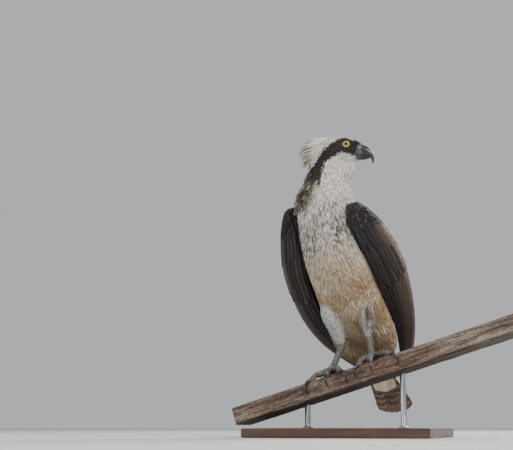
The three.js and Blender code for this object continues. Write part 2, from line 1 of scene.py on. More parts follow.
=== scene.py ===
# The looks of a life-size osprey perched on a cut length of timber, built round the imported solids.
# Shapes are worked out in millimetres from the same tables as the solids, and made in metres, +Z up.
import math

import bpy
import numpy as np
from mathutils import Matrix, Vector
from mathutils.bvhtree import BVHTree


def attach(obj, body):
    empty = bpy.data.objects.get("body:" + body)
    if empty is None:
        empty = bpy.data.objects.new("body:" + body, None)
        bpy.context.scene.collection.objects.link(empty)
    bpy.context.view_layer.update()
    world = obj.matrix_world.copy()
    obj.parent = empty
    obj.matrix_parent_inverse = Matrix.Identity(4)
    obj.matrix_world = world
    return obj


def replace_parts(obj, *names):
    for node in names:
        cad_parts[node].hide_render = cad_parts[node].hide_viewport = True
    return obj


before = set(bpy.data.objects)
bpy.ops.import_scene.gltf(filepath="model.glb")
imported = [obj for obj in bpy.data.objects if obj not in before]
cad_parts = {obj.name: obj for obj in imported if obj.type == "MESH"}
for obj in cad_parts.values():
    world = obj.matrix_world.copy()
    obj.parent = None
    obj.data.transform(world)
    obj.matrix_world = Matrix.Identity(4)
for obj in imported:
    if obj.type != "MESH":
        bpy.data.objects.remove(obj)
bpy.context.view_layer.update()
random = np.random.default_rng(12)

# Places shared with the solids
PERCH_HEIGHT = 112
PERCH_Y = -22
BEAM = {"width": 84, "thick": 31, "slope": math.radians(17), "left": -200, "right": 340}
PERCH_TOP = np.array([0.0, PERCH_Y, PERCH_HEIGHT])
HEAD = np.array([-8.0, -43.0, 387.0]) + PERCH_TOP
EYE = {"forward": 27, "up": 8.5, "side": 12.4, "radius": 9}
SHOULDER_LIFT = 19
WING_FULLNESS = 15.5
ALONG = np.array([math.cos(BEAM["slope"]), 0, math.sin(BEAM["slope"])])
OFF_BEAM = np.array([-math.sin(BEAM["slope"]), 0, math.cos(BEAM["slope"])])
BIRD_MATRIX = np.array(
    Matrix.Translation((19, PERCH_Y, PERCH_HEIGHT))
    @ Matrix.Rotation(math.radians(-8), 4, "Z")
    @ Matrix.Rotation(math.radians(-8.5), 4, "Y")
)
BIRD_INVERSE = np.linalg.inv(BIRD_MATRIX)
X = np.array([1.0, 0, 0])
Y = np.array([0, 1.0, 0])
Z = np.array([0, 0, 1.0])


def place_bird(points):
    return np.asarray(points) @ BIRD_MATRIX[:3, :3].T + BIRD_MATRIX[:3, 3]


def to_bird(points):
    return np.asarray(points) @ BIRD_INVERSE[:3, :3].T + BIRD_INVERSE[:3, 3]


def on_perch(x, y, z):
    return np.array([x, y, z], float) + PERCH_TOP


def head_place(forward, side, up):
    return HEAD + np.stack(np.broadcast_arrays(forward, side, up), axis=-1)


# Small maths
def unit(v):
    return v / np.maximum(np.linalg.norm(v, axis=-1, keepdims=True), 1e-9)


def mix(a, b, share):
    return a + (b - a) * share


def smooth(x, low, high):
    t = np.clip((np.asarray(x, float) - low) / (high - low), 0, 1)
    return t * t * (3 - 2 * t)


def flat(v, normal):
    """The part of v that lies square to normal, as a unit vector."""
    return unit(v - normal * np.sum(v * normal, axis=-1, keepdims=True))


def catmull(points, t):
    """Reads a curve through points, shaped (count, ..., 3), at each t from 0 to 1."""
    points = np.asarray(points, float)
    count = len(points)
    x = np.clip(np.asarray(t, float), 0, 1) * (count - 1)
    i = np.minimum(x.astype(int), count - 2)
    w = (x - i)[..., None]
    padded = np.concatenate([2 * points[:1] - points[1:2], points, 2 * points[-1:] - points[-2:-1]])
    if points.ndim == 3:
        each = np.arange(points.shape[1])
        p0, p1, p2, p3 = (padded[i + k, each] for k in range(4))
    else:
        p0, p1, p2, p3 = (padded[i + k] for k in range(4))
    a = 0.5 * (p2 - p0)
    b = 0.5 * (p3 - p1)
    cubic = 2 * p1 - 2 * p2 + a + b
    square = -3 * p1 + 3 * p2 - 2 * a - b
    return ((cubic * w + square) * w + a) * w + p1


def between(rows, position, column):
    """Reads a table's column at positions that lie in its first column."""
    rows = np.asarray(rows, float)
    position = np.asarray(position, float)
    last = len(rows) - 1
    i = np.clip(np.searchsorted(rows[:, 0], position, side="right") - 1, 0, last - 1)
    share = (position - rows[i, 0]) / (rows[i + 1, 0] - rows[i, 0])
    a = rows[i, column]
    b = rows[i + 1, column]
    slope_a = (b - rows[np.maximum(i - 1, 0), column]) / 2
    slope_b = (rows[np.minimum(i + 2, last), column] - a) / 2
    s2 = share**2
    s3 = share**3
    ends = a * (2 * s3 - 3 * s2 + 1) + b * (3 * s2 - 2 * s3)
    return ends + slope_a * (s3 - 2 * s2 + share) + slope_b * (s3 - s2)


def graph(x, pairs):
    """Reads straight lines drawn through pairs of x and value."""
    return np.interp(x, *zip(*pairs))


def circle(count):
    """Angles spaced evenly once round."""
    return np.linspace(0, 2 * math.pi, count, endpoint=False)


def swung(angle, first, second):
    """The way that an angle points, turned from the first direction towards the second."""
    return np.cos(angle) * first + np.sin(angle) * second


def linear(r, g, b):
    """An 8-bit display colour as the linear values that shaders take."""
    c = np.array([r, g, b]) / 255
    return np.where(c <= 0.04045, c / 12.92, ((c + 0.055) / 1.055) ** 2.4)


def wobble(points, scale, seed=0):
    """A smooth pattern over space from -1 to 1, with features about scale millimetres across."""
    waves = np.random.default_rng(seed + 400)
    total = np.zeros(len(points))
    for _ in range(7):
        direction = unit(waves.normal(size=3))
        bend = unit(waves.normal(size=3))
        phase = waves.uniform(0, 6.28, 2)
        turn = 1.3 * np.sin(points @ bend / scale * 1.9 + phase[1])
        total += np.sin(points @ direction / scale * waves.uniform(2.2, 4) + phase[0] + turn)
    return np.clip(total / 3.4, -1, 1)


# Camera: the photo's viewing angle and framing
AZIMUTH = math.radians(19)
ELEVATION = math.radians(-11)
DISTANCE = 1.8
METRES_PER_PIXEL = 0.00175
IMAGE_WIDTH = 513
IMAGE_HEIGHT = 450
PERCH_PIXEL = (347, 372.3)
SENSOR = 36


def make_camera():
    level = math.cos(ELEVATION)
    back = Vector((math.sin(AZIMUTH) * level, -math.cos(AZIMUTH) * level, math.sin(ELEVATION)))
    turn = (-back).to_track_quat("-Z", "Y")
    aim = Vector(PERCH_TOP / 1000)
    aim -= (turn @ Vector((1, 0, 0))) * ((PERCH_PIXEL[0] - IMAGE_WIDTH / 2) * METRES_PER_PIXEL)
    aim -= (turn @ Vector((0, 1, 0))) * ((IMAGE_HEIGHT / 2 - PERCH_PIXEL[1]) * METRES_PER_PIXEL)
    camera = bpy.data.objects.new("camera", bpy.data.cameras.new("camera"))
    bpy.context.scene.collection.objects.link(camera)
    camera.location = aim + back * DISTANCE
    camera.rotation_mode = "QUATERNION"
    camera.rotation_quaternion = turn
    camera.data.sensor_width = SENSOR
    camera.data.lens = SENSOR * DISTANCE / (IMAGE_WIDTH * METRES_PER_PIXEL)
    camera.data.clip_start = 0.01
    bpy.context.scene.camera = camera


make_camera()


# Materials
class Wire:
    """One output of a shader node. Sums and products of wires add the nodes that work them out."""

    def __init__(self, tree, socket):
        self.tree = tree
        self.socket = socket

    def beside(self, output):
        return Wire(self.tree, self.socket.node.outputs[output])

    def maths(self, kind, other=0.0):
        return node(self.tree, "Math", {0: self, 1: other}, operation=kind)

    def __add__(self, other):
        return self.maths("ADD", other)

    def __sub__(self, other):
        return self.maths("SUBTRACT", other)

    def __rsub__(self, other):
        return node(self.tree, "Math", {0: other, 1: self}, operation="SUBTRACT")

    def __mul__(self, other):
        return self.maths("MULTIPLY", other)


def plug(socket, value):
    """Feeds a socket from a wire, or sets it to a plain number or colour."""
    if isinstance(value, Wire):
        value.tree.links.new(value.socket, socket)
    else:
        socket.default_value = (*value, 1) if socket.type == "RGBA" else value


def node(tree, kind, feeds=None, output=0, **settings):
    """Adds a node with its settings, feeds its inputs, and returns one output."""
    made = tree.nodes.new("ShaderNode" + kind)
    for key, value in settings.items():
        setattr(made, key, value)
    for key, value in (feeds or {}).items():
        plug(made.inputs[key], value)
    return Wire(tree, made.outputs[output])


def material(name, roughness, **sockets):
    made = bpy.data.materials.new(name)
    made.use_nodes = True
    shader = made.node_tree.nodes["Principled BSDF"]
    for key, value in {"Roughness": roughness, **sockets}.items():
        plug(shader.inputs[key.replace("_", " ")], value)
    return made, made.node_tree, shader


def mixed(tree, share, a, b, kind="MIX"):
    return node(tree, "Mix", {0: share, 6: a, 7: b}, 2, data_type="RGBA", blend_type=kind)


def multiplied(colour, gain):
    return mixed(colour.tree, 1.0, colour, gain, "MULTIPLY")


def shaded(colour, shade):
    """A colour with all three of its parts multiplied by one number."""
    return multiplied(colour, node(colour.tree, "CombineXYZ", {"X": shade, "Y": shade, "Z": shade}))


def fitted(value, low, high, to_low=0.0, to_high=1.0):
    """A number's range from low to high, stretched to another range and held inside it."""
    feeds = {"Value": value, "From Min": low, "From Max": high, "To Min": to_low, "To Max": to_high}
    return node(value.tree, "MapRange", feeds)


def ramp(value, stops):
    made = node(value.tree, "ValToRGB", {"Fac": value})
    elements = made.socket.node.color_ramp.elements
    while len(elements) < len(stops):
        elements.new(0.5)
    for element, (place, colour) in zip(elements, stops):
        element.position = place
        element.color = (*colour, 1)
    return made


def texture(tree, kind, drawn=None, turned=(0.0, 0.0, 0.0), **feeds):
    """A texture over the object's own place in metres, drawn out along turned axes if asked."""
    place = node(tree, "TexCoord", output="Object")
    if drawn is not None:
        feeds_place = {"Vector": place, "Scale": drawn, "Rotation": turned}
        place = node(tree, "Mapping", feeds_place, vector_type="TEXTURE")
    return node(tree, kind, {"Vector": place, **feeds})


def noise(tree, scale, detail, **axes):
    return texture(tree, "TexNoise", Scale=scale, Detail=detail, **axes)


def painted_colour(tree):
    return node(tree, "Attribute", output="Color", attribute_name="Col")


def bump(shader, height, strength, distance):
    feeds = {"Height": height, "Strength": strength, "Distance": distance}
    plug(shader.inputs["Normal"], node(height.tree, "Bump", feeds))


SHAFT_COLOUR = (0.012, 0.01, 0.009)
BARBS_ALONG = 260
BARBS_SLANT = -56


def feather_material(name, roughness, barb, sheen=0.2, rim=None, bands=None):
    """The vane's painted colour with a shaft line and slanting barbs, and a pale rim or bands if asked."""
    made, tree, shader = material(
        name, roughness, Sheen_Weight=sheen, Sheen_Roughness=0.45, Specular_IOR_Level=0.22
    )
    colour = painted_colour(tree)
    vane = node(tree, "SeparateXYZ", {"Vector": node(tree, "UVMap", uv_map="Vane")})
    across = (vane - 0.5).maths("ABSOLUTE") * 2
    down = vane.beside(1)
    ragged = (noise(tree, 340, 4) - 0.5) * 0.14
    if bands:
        wave = ((down + (ragged + across * 0.05)) * bands["pace"]).maths("SINE")
        dark = fitted(wave, bands["low"], bands["high"]) * 0.8
        colour = mixed(tree, dark, colour, bands["colour"])
    if rim:
        at_side = fitted(across + ragged, 1 - rim["side"], 1.0)
        at_tip = fitted(down + ragged, 1 - rim["tip"], 1.0)
        colour = mixed(tree, at_side.maths("MAXIMUM", at_tip), colour, multiplied(colour, rim["gain"]))
    colour = mixed(tree, across.maths("LESS_THAN", 0.05) * 0.35, colour, SHAFT_COLOUR)
    patch = noise(tree, 420, 4)
    barbs = (down * BARBS_ALONG + across * BARBS_SLANT + patch * 7).maths("SINE") * 0.5 + 0.5
    plug(shader.inputs["Base Color"], shaded(colour, patch * 0.5 + barbs * 0.08 + 0.72))
    bump(shader, barbs + patch, barb, 0.0004)
    return made


def attribute_material(name, roughness, scale, strength, coat=0.0, cells=None, sheen=0.0):
    """Colour painted on the mesh, mottled and bumped by fine noise, or by cells where it is scaly, with the
    crevices between the cells darkened as painted shade.
    """
    made, tree, shader = material(
        name, roughness, Coat_Weight=coat, Coat_Roughness=0.12, Sheen_Weight=sheen
    )
    height = noise(tree, scale, 5)
    shade = height * 0.6 + 0.7
    if cells:
        cell = texture(tree, "TexVoronoi", Scale=cells)
        height = 1.0 - cell
        # Darker towards each cell's edge: painted shade in the crevices between the scales.
        crevice_shade = 1.2 - cell * 1.1
        crevice_shade.socket.node.use_clamp = True
        shade = shade * crevice_shade
    plug(shader.inputs["Base Color"], shaded(painted_colour(tree), shade))
    bump(shader, height, strength, 0.0012 if cells else 0.0006)
    return made


# Meshes
def write(items, key, values, kind=np.float32):
    items.foreach_set(key, np.asarray(values).astype(kind).ravel())


def read(items, key, width=3, kind=np.float32):
    values = np.zeros(len(items) * width, kind)
    items.foreach_get(key, values)
    return values.reshape(-1, width)


def paint(mesh, colours=None, maps=None):
    """Colours and unwraps that are given for each corner point of the mesh."""
    corners = read(mesh.loops, "vertex_index", 1, np.int32)[:, 0]
    for name, values in (maps or {}).items():
        write(mesh.uv_layers.new(name=name).uv, "vector", np.asarray(values)[corners])
    if colours is not None:
        colours = np.asarray(colours).reshape(-1, 3)
        layer = mesh.color_attributes.new("Col", "FLOAT_COLOR", "POINT")
        write(layer.data, "color", np.concatenate([colours, np.ones((len(colours), 1))], axis=1))


def mesh_object(name, points, faces, mat, colours=None, maps=None, smooth_shading=True, slot=None):
    """A mesh from points in millimetres and faces as arrays of three or four corners."""
    mesh = bpy.data.meshes.new(name)
    points = np.asarray(points, float).reshape(-1, 3)
    faces = [np.asarray(part, int) for part in faces]
    sizes = np.concatenate([np.full(len(part), part.shape[1]) for part in faces])
    corners = np.concatenate([part.ravel() for part in faces])
    mesh.vertices.add(len(points))
    write(mesh.vertices, "co", points * 0.001)
    mesh.loops.add(len(corners))
    write(mesh.loops, "vertex_index", corners, np.int32)
    mesh.polygons.add(len(sizes))
    write(mesh.polygons, "loop_start", np.cumsum(sizes) - sizes, np.int32)
    write(mesh.polygons, "use_smooth", np.full(len(sizes), smooth_shading), bool)
    mesh.update(calc_edges=True)
    paint(mesh, colours, maps)
    mesh.validate()
    made = bpy.data.objects.new(name, mesh)
    bpy.context.scene.collection.objects.link(made)
    mesh.materials.append(mat)
    if slot:
        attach(made, "root")
    return made


def grid_faces(rings, count):
    """Quads between rings of count points each, closed round."""
    i = np.arange(count)
    j = (i + 1) % count
    ring = np.arange(rings - 1)[:, None] * count
    quads = np.stack([ring + i, ring + j, ring + j + count, ring + i + count], axis=-1)
    return quads.reshape(-1, 4)


def flipped(faces):
    return [part[:, ::-1] for part in faces]


def tube(rings):
    """Points and faces of a closed form lofted through rings shaped (rings, count, 3)."""
    rings = np.asarray(rings, float)
    total, count = rings.shape[:2]
    points = np.concatenate([rings.reshape(-1, 3), rings[0].mean(0)[None], rings[-1].mean(0)[None]])
    i = np.arange(count)
    j = (i + 1) % count
    first = np.stack([np.full(count, total * count), j, i], axis=-1)
    last = (total - 1) * count
    end = np.stack([np.full(count, total * count + 1), last + i, last + j], axis=-1)
    return points, [grid_faces(total, count), np.concatenate([first, end])]


def joined(parts):
    """Several closed forms as one list of points and faces."""
    points = []
    quads = []
    triangles = []
    start = 0
    for part_points, (part_quads, part_triangles) in parts:
        points.append(part_points)
        quads.append(part_quads + start)
        triangles.append(part_triangles + start)
        start += len(part_points)
    return np.concatenate(points), [np.concatenate(quads), np.concatenate(triangles)]


def limb(path, radii, side, sides=16, steps=24, flatness=1.0):
    """A tapering round limb along a path, smoothed between its points."""
    t = np.linspace(0, 1, steps)
    line = catmull(path, t)
    ahead = catmull(path, t + 0.01) - catmull(path, t - 0.01)
    ahead[0] = line[1] - line[0]
    tangent = unit(ahead)
    other = unit(np.cross(side, tangent))
    across = unit(np.cross(tangent, other))
    radius = catmull(np.array(radii, float)[:, None] * np.ones(3), t)[:, :1]
    ring = swung(circle(sides)[None, :, None], across[:, None], flatness * other[:, None])
    return tube(line[:, None] + ring * radius[:, :, None])


# The body's own form. Each row of the trunk has its position, its middle's x, y and z on the bird,
# its half-width and its half-depth. Each row of the head has how far forward it is, its half-width,
# its half-height and its level. A leg has the radii down its thigh.
TRUNK = [
    [0, 0, 92, 26, 39, 9],
    [1, 0, 76, 44, 57, 23],
    [2, 0, 57, 74, 62, 36],
    [3, 0, 35, 112, 61, 46],
    [4, 0, 15, 150, 60, 53],
    [5, 0, -2, 190, 62, 57],
    [6, 0, -16, 228, 62, 57],
    [7, 0, -27, 262, 60, 53],
    [8, 1, -34, 290, 57, 48],
    [9, 5, -38, 316, 50, 44],
    [10, 12, -40, 340, 43, 40],
    [11, 21, -42, 362, 37, 35],
    [12, 29, -43, 382, 24, 24],
]
HEAD_ROWS = [
    [-50, 9, 10, -6],
    [-42, 17, 17.5, -4.5],
    [-28, 23, 23, -0.5],
    [-12, 26, 25, 2.5],
    [6, 25.5, 25.2, 3.2],
    [22, 22.5, 23.2, 3.2],
    [34, 17.5, 21, 2],
    [40, 14.8, 18.9, 0.6],
    [44.2, 12.6, 17, -0.9],
]
LEGS = {
    "right": {
        "hip": (-34, 12, 134),
        "knee": (-29, -6, 102),
        "ankle": (-12, 16, 49),
        "foot": (-22, -14),
        "thigh": [19, 18, 15.5, 12, 8.5],
        "sign": -1,
    },
    "left": {
        "hip": (33, 12, 140),
        "knee": (38, -6, 110),
        "ankle": (37, 15, 60),
        "foot": (52, -14),
        "thigh": [15, 14, 12, 10, 7.5],
        "sign": 1,
    },
}


def trunk_middle(position):
    return np.stack([between(TRUNK, position, column) for column in (1, 2, 3)], axis=-1)


def trunk_form():
    position = np.linspace(0, 12, 61)
    centre = trunk_middle(position)
    ahead = trunk_middle(np.minimum(position + 0.2, 12)) - trunk_middle(np.maximum(position - 0.2, 0))
    back = unit(np.cross(unit(ahead), X))
    wide = between(TRUNK, position, 4)[:, None, None] * X
    deep = between(TRUNK, position, 5)[:, None, None] * back[:, None]
    return tube(place_bird(centre[:, None] + swung(circle(48)[None, :, None], wide, deep)))


def head_form():
    forward = np.linspace(HEAD_ROWS[0][0], HEAD_ROWS[-1][0], 40)[:, None]
    angle = circle(40)[None]
    side = between(HEAD_ROWS, forward, 1) * np.cos(angle)
    up = between(HEAD_ROWS, forward, 3) + between(HEAD_ROWS, forward, 2) * np.sin(angle)
    return tube(head_place(forward + 0 * angle, side, up))


def head_limb(path, radii, sides=16, side=Y):
    return limb([head_place(f, s, u) for f, s, u in path], radii, side, sides)


def brow_form(sign):
    path = [(41, 12, 10), (35, 16.5, 15.5), (26, 19.5, 18.6), (13, 21.5, 17.5)]
    return head_limb([(f, sign * s, u) for f, s, u in path], [1.5, 3, 3.4, 1.8], side=Z)


def throat_form():
    return head_limb([(36, 0, -8), (31, 0, -20), (24, 0, -36), (9, 0, -60)], [8, 12.5, 14.5, 12])


def thigh_path(leg):
    hip, knee, ankle = (on_perch(*leg[name]) for name in ("hip", "knee", "ankle"))
    low = ankle + np.array([0, -1.5, -3])
    return np.array([hip, knee, mix(knee, ankle, 0.5), mix(knee, ankle, 0.85), low])


def thigh_form(leg):
    return limb(thigh_path(leg), leg["thigh"], X, 24, 30)


def thigh_line(leg):
    return catmull(thigh_path(leg), np.linspace(0, 1, 30))


# The line that the coat lies along, from the bill over the head, down the neck and body to the rump.
SPINE = np.concatenate(
    [
        head_place(np.array([60, 40, 20, 0, -14]), 0, np.array([-6, -1, 2, 0, -9])),
        place_bird(trunk_middle(np.array([10.9, 10, 9, 8, 7, 6, 5, 4, 3, 2, 1, 0.0]))),
        place_bird(np.array([[0, 160, -22]])),
    ]
)
SPINE_T = np.linspace(0, 1, 160)
SPINE_LINE = catmull(SPINE, SPINE_T)
SPINE_AHEAD = unit(np.gradient(SPINE_LINE, axis=0))


def along_spine(points):
    """The coat's lie and the place along the spine, for each point."""
    lie = np.zeros_like(points)
    place = np.zeros(len(points))
    for start in range(0, len(points), 20000):
        some = points[start : start + 20000]
        gap = np.linalg.norm(some[:, None] - SPINE_LINE[None], axis=-1)
        weight = np.exp(-((gap - gap.min(1, keepdims=True)) / 5.0))
        weight /= weight.sum(1, keepdims=True)
        lie[start : start + 20000] = weight @ SPINE_AHEAD
        place[start : start + 20000] = weight @ SPINE_T
    return unit(lie), place


def bake_place(points, place):
    """Where a point of the skin lies on the unwrap: round the spine, and along it."""
    line = catmull(SPINE, place)
    ahead = unit(catmull(SPINE, place + 0.01) - catmull(SPINE, place - 0.01))
    front = flat(np.broadcast_to(-Y, ahead.shape) + 0.001, ahead)
    left = np.cross(ahead, front)
    out = points - line
    turn = np.arctan2(np.sum(out * left, axis=-1), np.sum(out * front, axis=-1))
    return np.stack([0.02 + 0.96 * (turn / (2 * math.pi) + 0.5), 0.02 + 0.96 * place], axis=-1)


# Markings of the coat, from named places on the head and body
WHITE = linear(226, 222, 212)
CREAM = linear(214, 203, 182)
GREY_WHITE = linear(196, 196, 192)
TAN = linear(172, 150, 118)
OCHRE = linear(152, 123, 86)
RUST = linear(132, 88, 48)
UMBER = linear(64, 50, 41)
DARK = linear(36, 31, 29)
BLACK = linear(22, 21, 22)
MOUSE = linear(112, 96, 82)
BELLY_GAIN = np.array([0.93, 0.87, 0.76])


def tint(base, colour, share):
    return base + (np.asarray(colour) - base) * np.asarray(share)[:, None]


# The dark stripe runs from the lore through the eye and down the side of the neck. Each row has its
# place, forward and up from the head, and its half-width.
STRIPE = np.array(
    [
        [48, 2, 11.5],
        [38, 4, 12.5],
        [28, 7.5, 13],
        [16, 4, 11.5],
        [3, -2, 10.5],
        [-8, -9, 9.5],
        [-17, -21, 10],
        [-23, -34, 12],
        [-26, -50, 14],
    ],
    float,
)


def stripe_share(forward, side, up):
    line = catmull(STRIPE, np.linspace(0, 1, 60))
    width = line[:, 2]
    gap = np.hypot(forward[:, None] - line[None, :, 0], up[:, None] - line[None, :, 1])
    near = gap.argmin(1)
    inside = gap[np.arange(len(forward)), near] - width[near]
    side_on = smooth(np.abs(side), 5, 10)
    return (1 - smooth(inside, -1.6, 1.6)) * side_on


# The hind neck's brown, by height on the bird: the side it faces, and how far round it reaches
NAPE_ANGLE = [(240, 92), (270, 70), (300, 42), (308, 28), (316, 15), (330, 6), (357, 0)]
NAPE_REACH = [(100, 66), (240, 80), (270, 74), (300, 70), (308, 84), (316, 96), (330, 96)]
NAPE_REACH += [(345, 84), (357, 64)]


def nape_share(bird, up, fine):
    height = bird[:, 2]
    out = bird - trunk_middle(np.interp(height, [row[3] for row in TRUNK], [row[0] for row in TRUNK]))
    angle = np.degrees(np.arctan2(out[:, 1], -out[:, 0]))
    gap = np.abs((angle - graph(height, NAPE_ANGLE) + 180) % 360 - 180)
    reach = graph(height, NAPE_REACH)
    return (1 - smooth(gap + 12 * fine, reach - 7, reach + 7)) * smooth(up, -16, -30)


def thigh_shares(points, normals):
    """How much of a thigh each point is, and how much of the left one's blotched outer side."""
    thigh = np.zeros(len(points))
    for leg in LEGS.values():
        path = thigh_line(leg)
        radius = np.interp(np.linspace(0, 1, 30), [0, 0.25, 0.5, 0.75, 1], leg["thigh"])
        away = np.linalg.norm(points[:, None] - path[None], axis=-1) - radius[None]
        share = smooth(away.min(1), 5, -1) * smooth(points[:, 2], path[0, 2] + 6, path[1, 2] + 4)
        thigh = np.maximum(thigh, share)
    # The left leg is the last in the loop, so share and path are the left one's here.
    outward = smooth(normals[:, 0], -0.45, 0.2)
    return thigh, share * outward * smooth(points[:, 2], path[-1, 2] + 8, path[-1, 2] + 20)


def plumage(points, normals):
    """The coat's colour, and how much of a nape, head, breast or thigh each point is."""
    bird = to_bird(points)
    forward, side, up = (points - HEAD).T
    height = bird[:, 2]
    broad = wobble(points, 26, 1)
    fine = wobble(points, 9, 2)
    head = smooth(up, -34, -22)
    # Below the throat the white turns grey, then tan towards the vent.
    base = np.tile(WHITE, (len(points), 1))
    for colour, above, below, share in (
        (GREY_WHITE, 330, 280, 0.5 + 0.3 * broad),
        (CREAM, 268, 214, 0.75 + 0.25 * fine),
        (TAN, 244, 180, np.clip(0.62 + 0.4 * broad + 0.2 * fine, 0, 1)),
        (OCHRE, 200, 90, np.clip(0.3 + 0.4 * broad, 0, 1)),
    ):
        base = tint(base, colour, smooth(height, above, below) * share)
    base = base * mix(np.ones(3), BELLY_GAIN, smooth(height, 226, 150)[:, None])
    nape = nape_share(bird, up, fine)
    base = tint(base, UMBER, nape * np.clip(0.85 + 0.3 * wobble(points, 5.5, 7), 0.45, 1))
    # The head: white, with fine dark streaks over the crown, and the stripe.
    crown = head * smooth(up, 8, 17) * smooth(forward, -40, -5) * smooth(wobble(points, 3.2, 5), 0.25, 0.6)
    base = tint(base, UMBER, 0.5 * crown)
    forehead = head * smooth(up, 8, 14) * smooth(forward, 24, 38)
    base = tint(base, MOUSE, 0.75 * forehead * smooth(fine, -0.6, 0.5))
    stripe = stripe_share(forward + 1.5 * fine, side, up + 1.2 * fine) * smooth(up, -62, -40)
    base = tint(base, DARK, stripe)
    # Streaks across the breast, rusty above and dark below, and blotches down the left shin.
    front = smooth(normals[:, 1], 0.25, -0.2) * (1 - nape)
    band = smooth(height, 206, 232) * smooth(height, 322, 290) * front
    thigh, shin = thigh_shares(points, normals)
    long_spots = points * [1, 1, 0.5]
    rusty = smooth(wobble(long_spots, 6.0, 11), 0.26, 0.5) * band * smooth(height, 232, 258)
    dusky = smooth(wobble(long_spots, 6, 13), 0.3, 0.52) * band * smooth(height, 286, 250)
    base = tint(base, mix(OCHRE, RUST, 0.65) * 0.8, 0.8 * rusty)
    base = tint(base, DARK, 0.8 * dusky)
    base = tint(base, GREY_WHITE, thigh)
    base = tint(base, mix(UMBER, OCHRE, 0.2), 0.95 * shin * smooth(fine, -0.8, 0.2))
    return base, {"head": head, "nape": nape, "band": band, "thigh": thigh}


# Materials of the coat and the harder parts
NAPE_RIM = {"side": 0.16, "tip": 0.06, "gain": (3.6, 3.3, 2.9)}
WING_RIM = {"side": 0.15, "tip": 0.025, "gain": (3.8, 3.5, 3.2)}
COVERT_RIM = {"side": 0.24, "tip": 0.09, "gain": (1.9, 1.8, 1.75)}
TAIL_RIM = {"side": 0.14, "tip": 0.03, "gain": (2.6, 2.0, 1.4)}
TAIL_BANDS = {"pace": 52, "low": -0.2, "high": 0.5, "colour": linear(56, 44, 38)}
coat_material = feather_material("coat", 0.9, 0.3)
nape_material = feather_material("nape", 0.85, 0.4, rim=NAPE_RIM)
wing_material = feather_material("wing", 0.6, 0.2, 0.05, WING_RIM)
covert_material = feather_material("covert", 0.65, 0.2, 0.05, COVERT_RIM)
tail_material = feather_material("tail", 0.65, 0.25, 0.05, TAIL_RIM, TAIL_BANDS)
skin_material = attribute_material("skin", 0.85, 500, 0.4, sheen=0.2)
horn_material = attribute_material("horn", 0.4, 300, 0.15, coat=0.12)
claw_material = attribute_material("claw_horn", 0.3, 260, 0.12, coat=0.25)
scale_material = attribute_material("scaly_skin", 0.55, 600, 1.0, cells=430)
lid_material = attribute_material("lid", 0.5, 900, 0.5)


# Skin: the flesh as one form, lying inside the solids by the coat's depth
SKIN_VOXEL = 0.0024


def applied(obj):
    """Makes the object's own mesh from what its modifiers give, and clears them."""
    made = bpy.data.meshes.new_from_object(obj.evaluated_get(bpy.context.evaluated_depsgraph_get()))
    obj.modifiers.clear()
    old = obj.data
    obj.data = made
    bpy.data.meshes.remove(old)


def soften(obj, factor, rounds):
    smoothing = obj.modifiers.new("soften", "SMOOTH")
    smoothing.factor = factor
    smoothing.iterations = rounds
    applied(obj)


def corners_of(mesh):
    """A mesh's points in millimetres, and its normals there."""
    points = read(mesh.vertices, "co").astype(float) * 1000
    return points, read(mesh.vertex_normals, "vector").astype(float)


def triangles_of(mesh):
    mesh.calc_loop_triangles()
    return read(mesh.loop_triangles, "vertices", kind=np.int32)


def coat_depth(points):
    forward, _, up = (points - HEAD).T
    on_body = graph(up, [(-120, 4.6), (-60, 4.2), (-34, 3.6), (-18, 2.2)])
    on_head = graph(forward, [(-40, 3.2), (0, 2.2), (30, 1.5), (44, 1.1)])
    return np.where(up > -18, on_head, on_body)


forms = [trunk_form(), head_form(), throat_form(), brow_form(1), brow_form(-1)]
forms += [thigh_form(leg) for leg in LEGS.values()]
skin = mesh_object("skin", *joined(forms), skin_material, slot="white_feathers")
remesh = skin.modifiers.new("remesh", "REMESH")
remesh.mode = "VOXEL"
remesh.voxel_size = SKIN_VOXEL
soften(skin, 0.6, 9)
skin_points, skin_normals = corners_of(skin.data)
_, skin_along = along_spine(skin_points)
skin_points = skin_points - skin_normals * coat_depth(skin_points)[:, None]
write(skin.data.vertices, "co", skin_points * 0.001)
skin.data.update()
skin_colours, skin_zones = plumage(skin_points, skin_normals)
paint(skin.data, skin_colours * 0.8, {"OFBake": bake_place(skin_points, skin_along)})
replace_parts(skin, "torso", "neck", "head", "thigh_left", "thigh_right")


# Small feathers and locks: slim closed vanes through three points each, with five rings of three corners
RING_S = np.array([0, 0.28, 0.55, 0.8, 1.0])
ROUNDED = np.array([0.45, 0.92, 1, 0.82, 0.14])
POINTED = np.array([0.55, 1, 0.8, 0.45, 0.04])
MOST_IN_PIECE = 7200


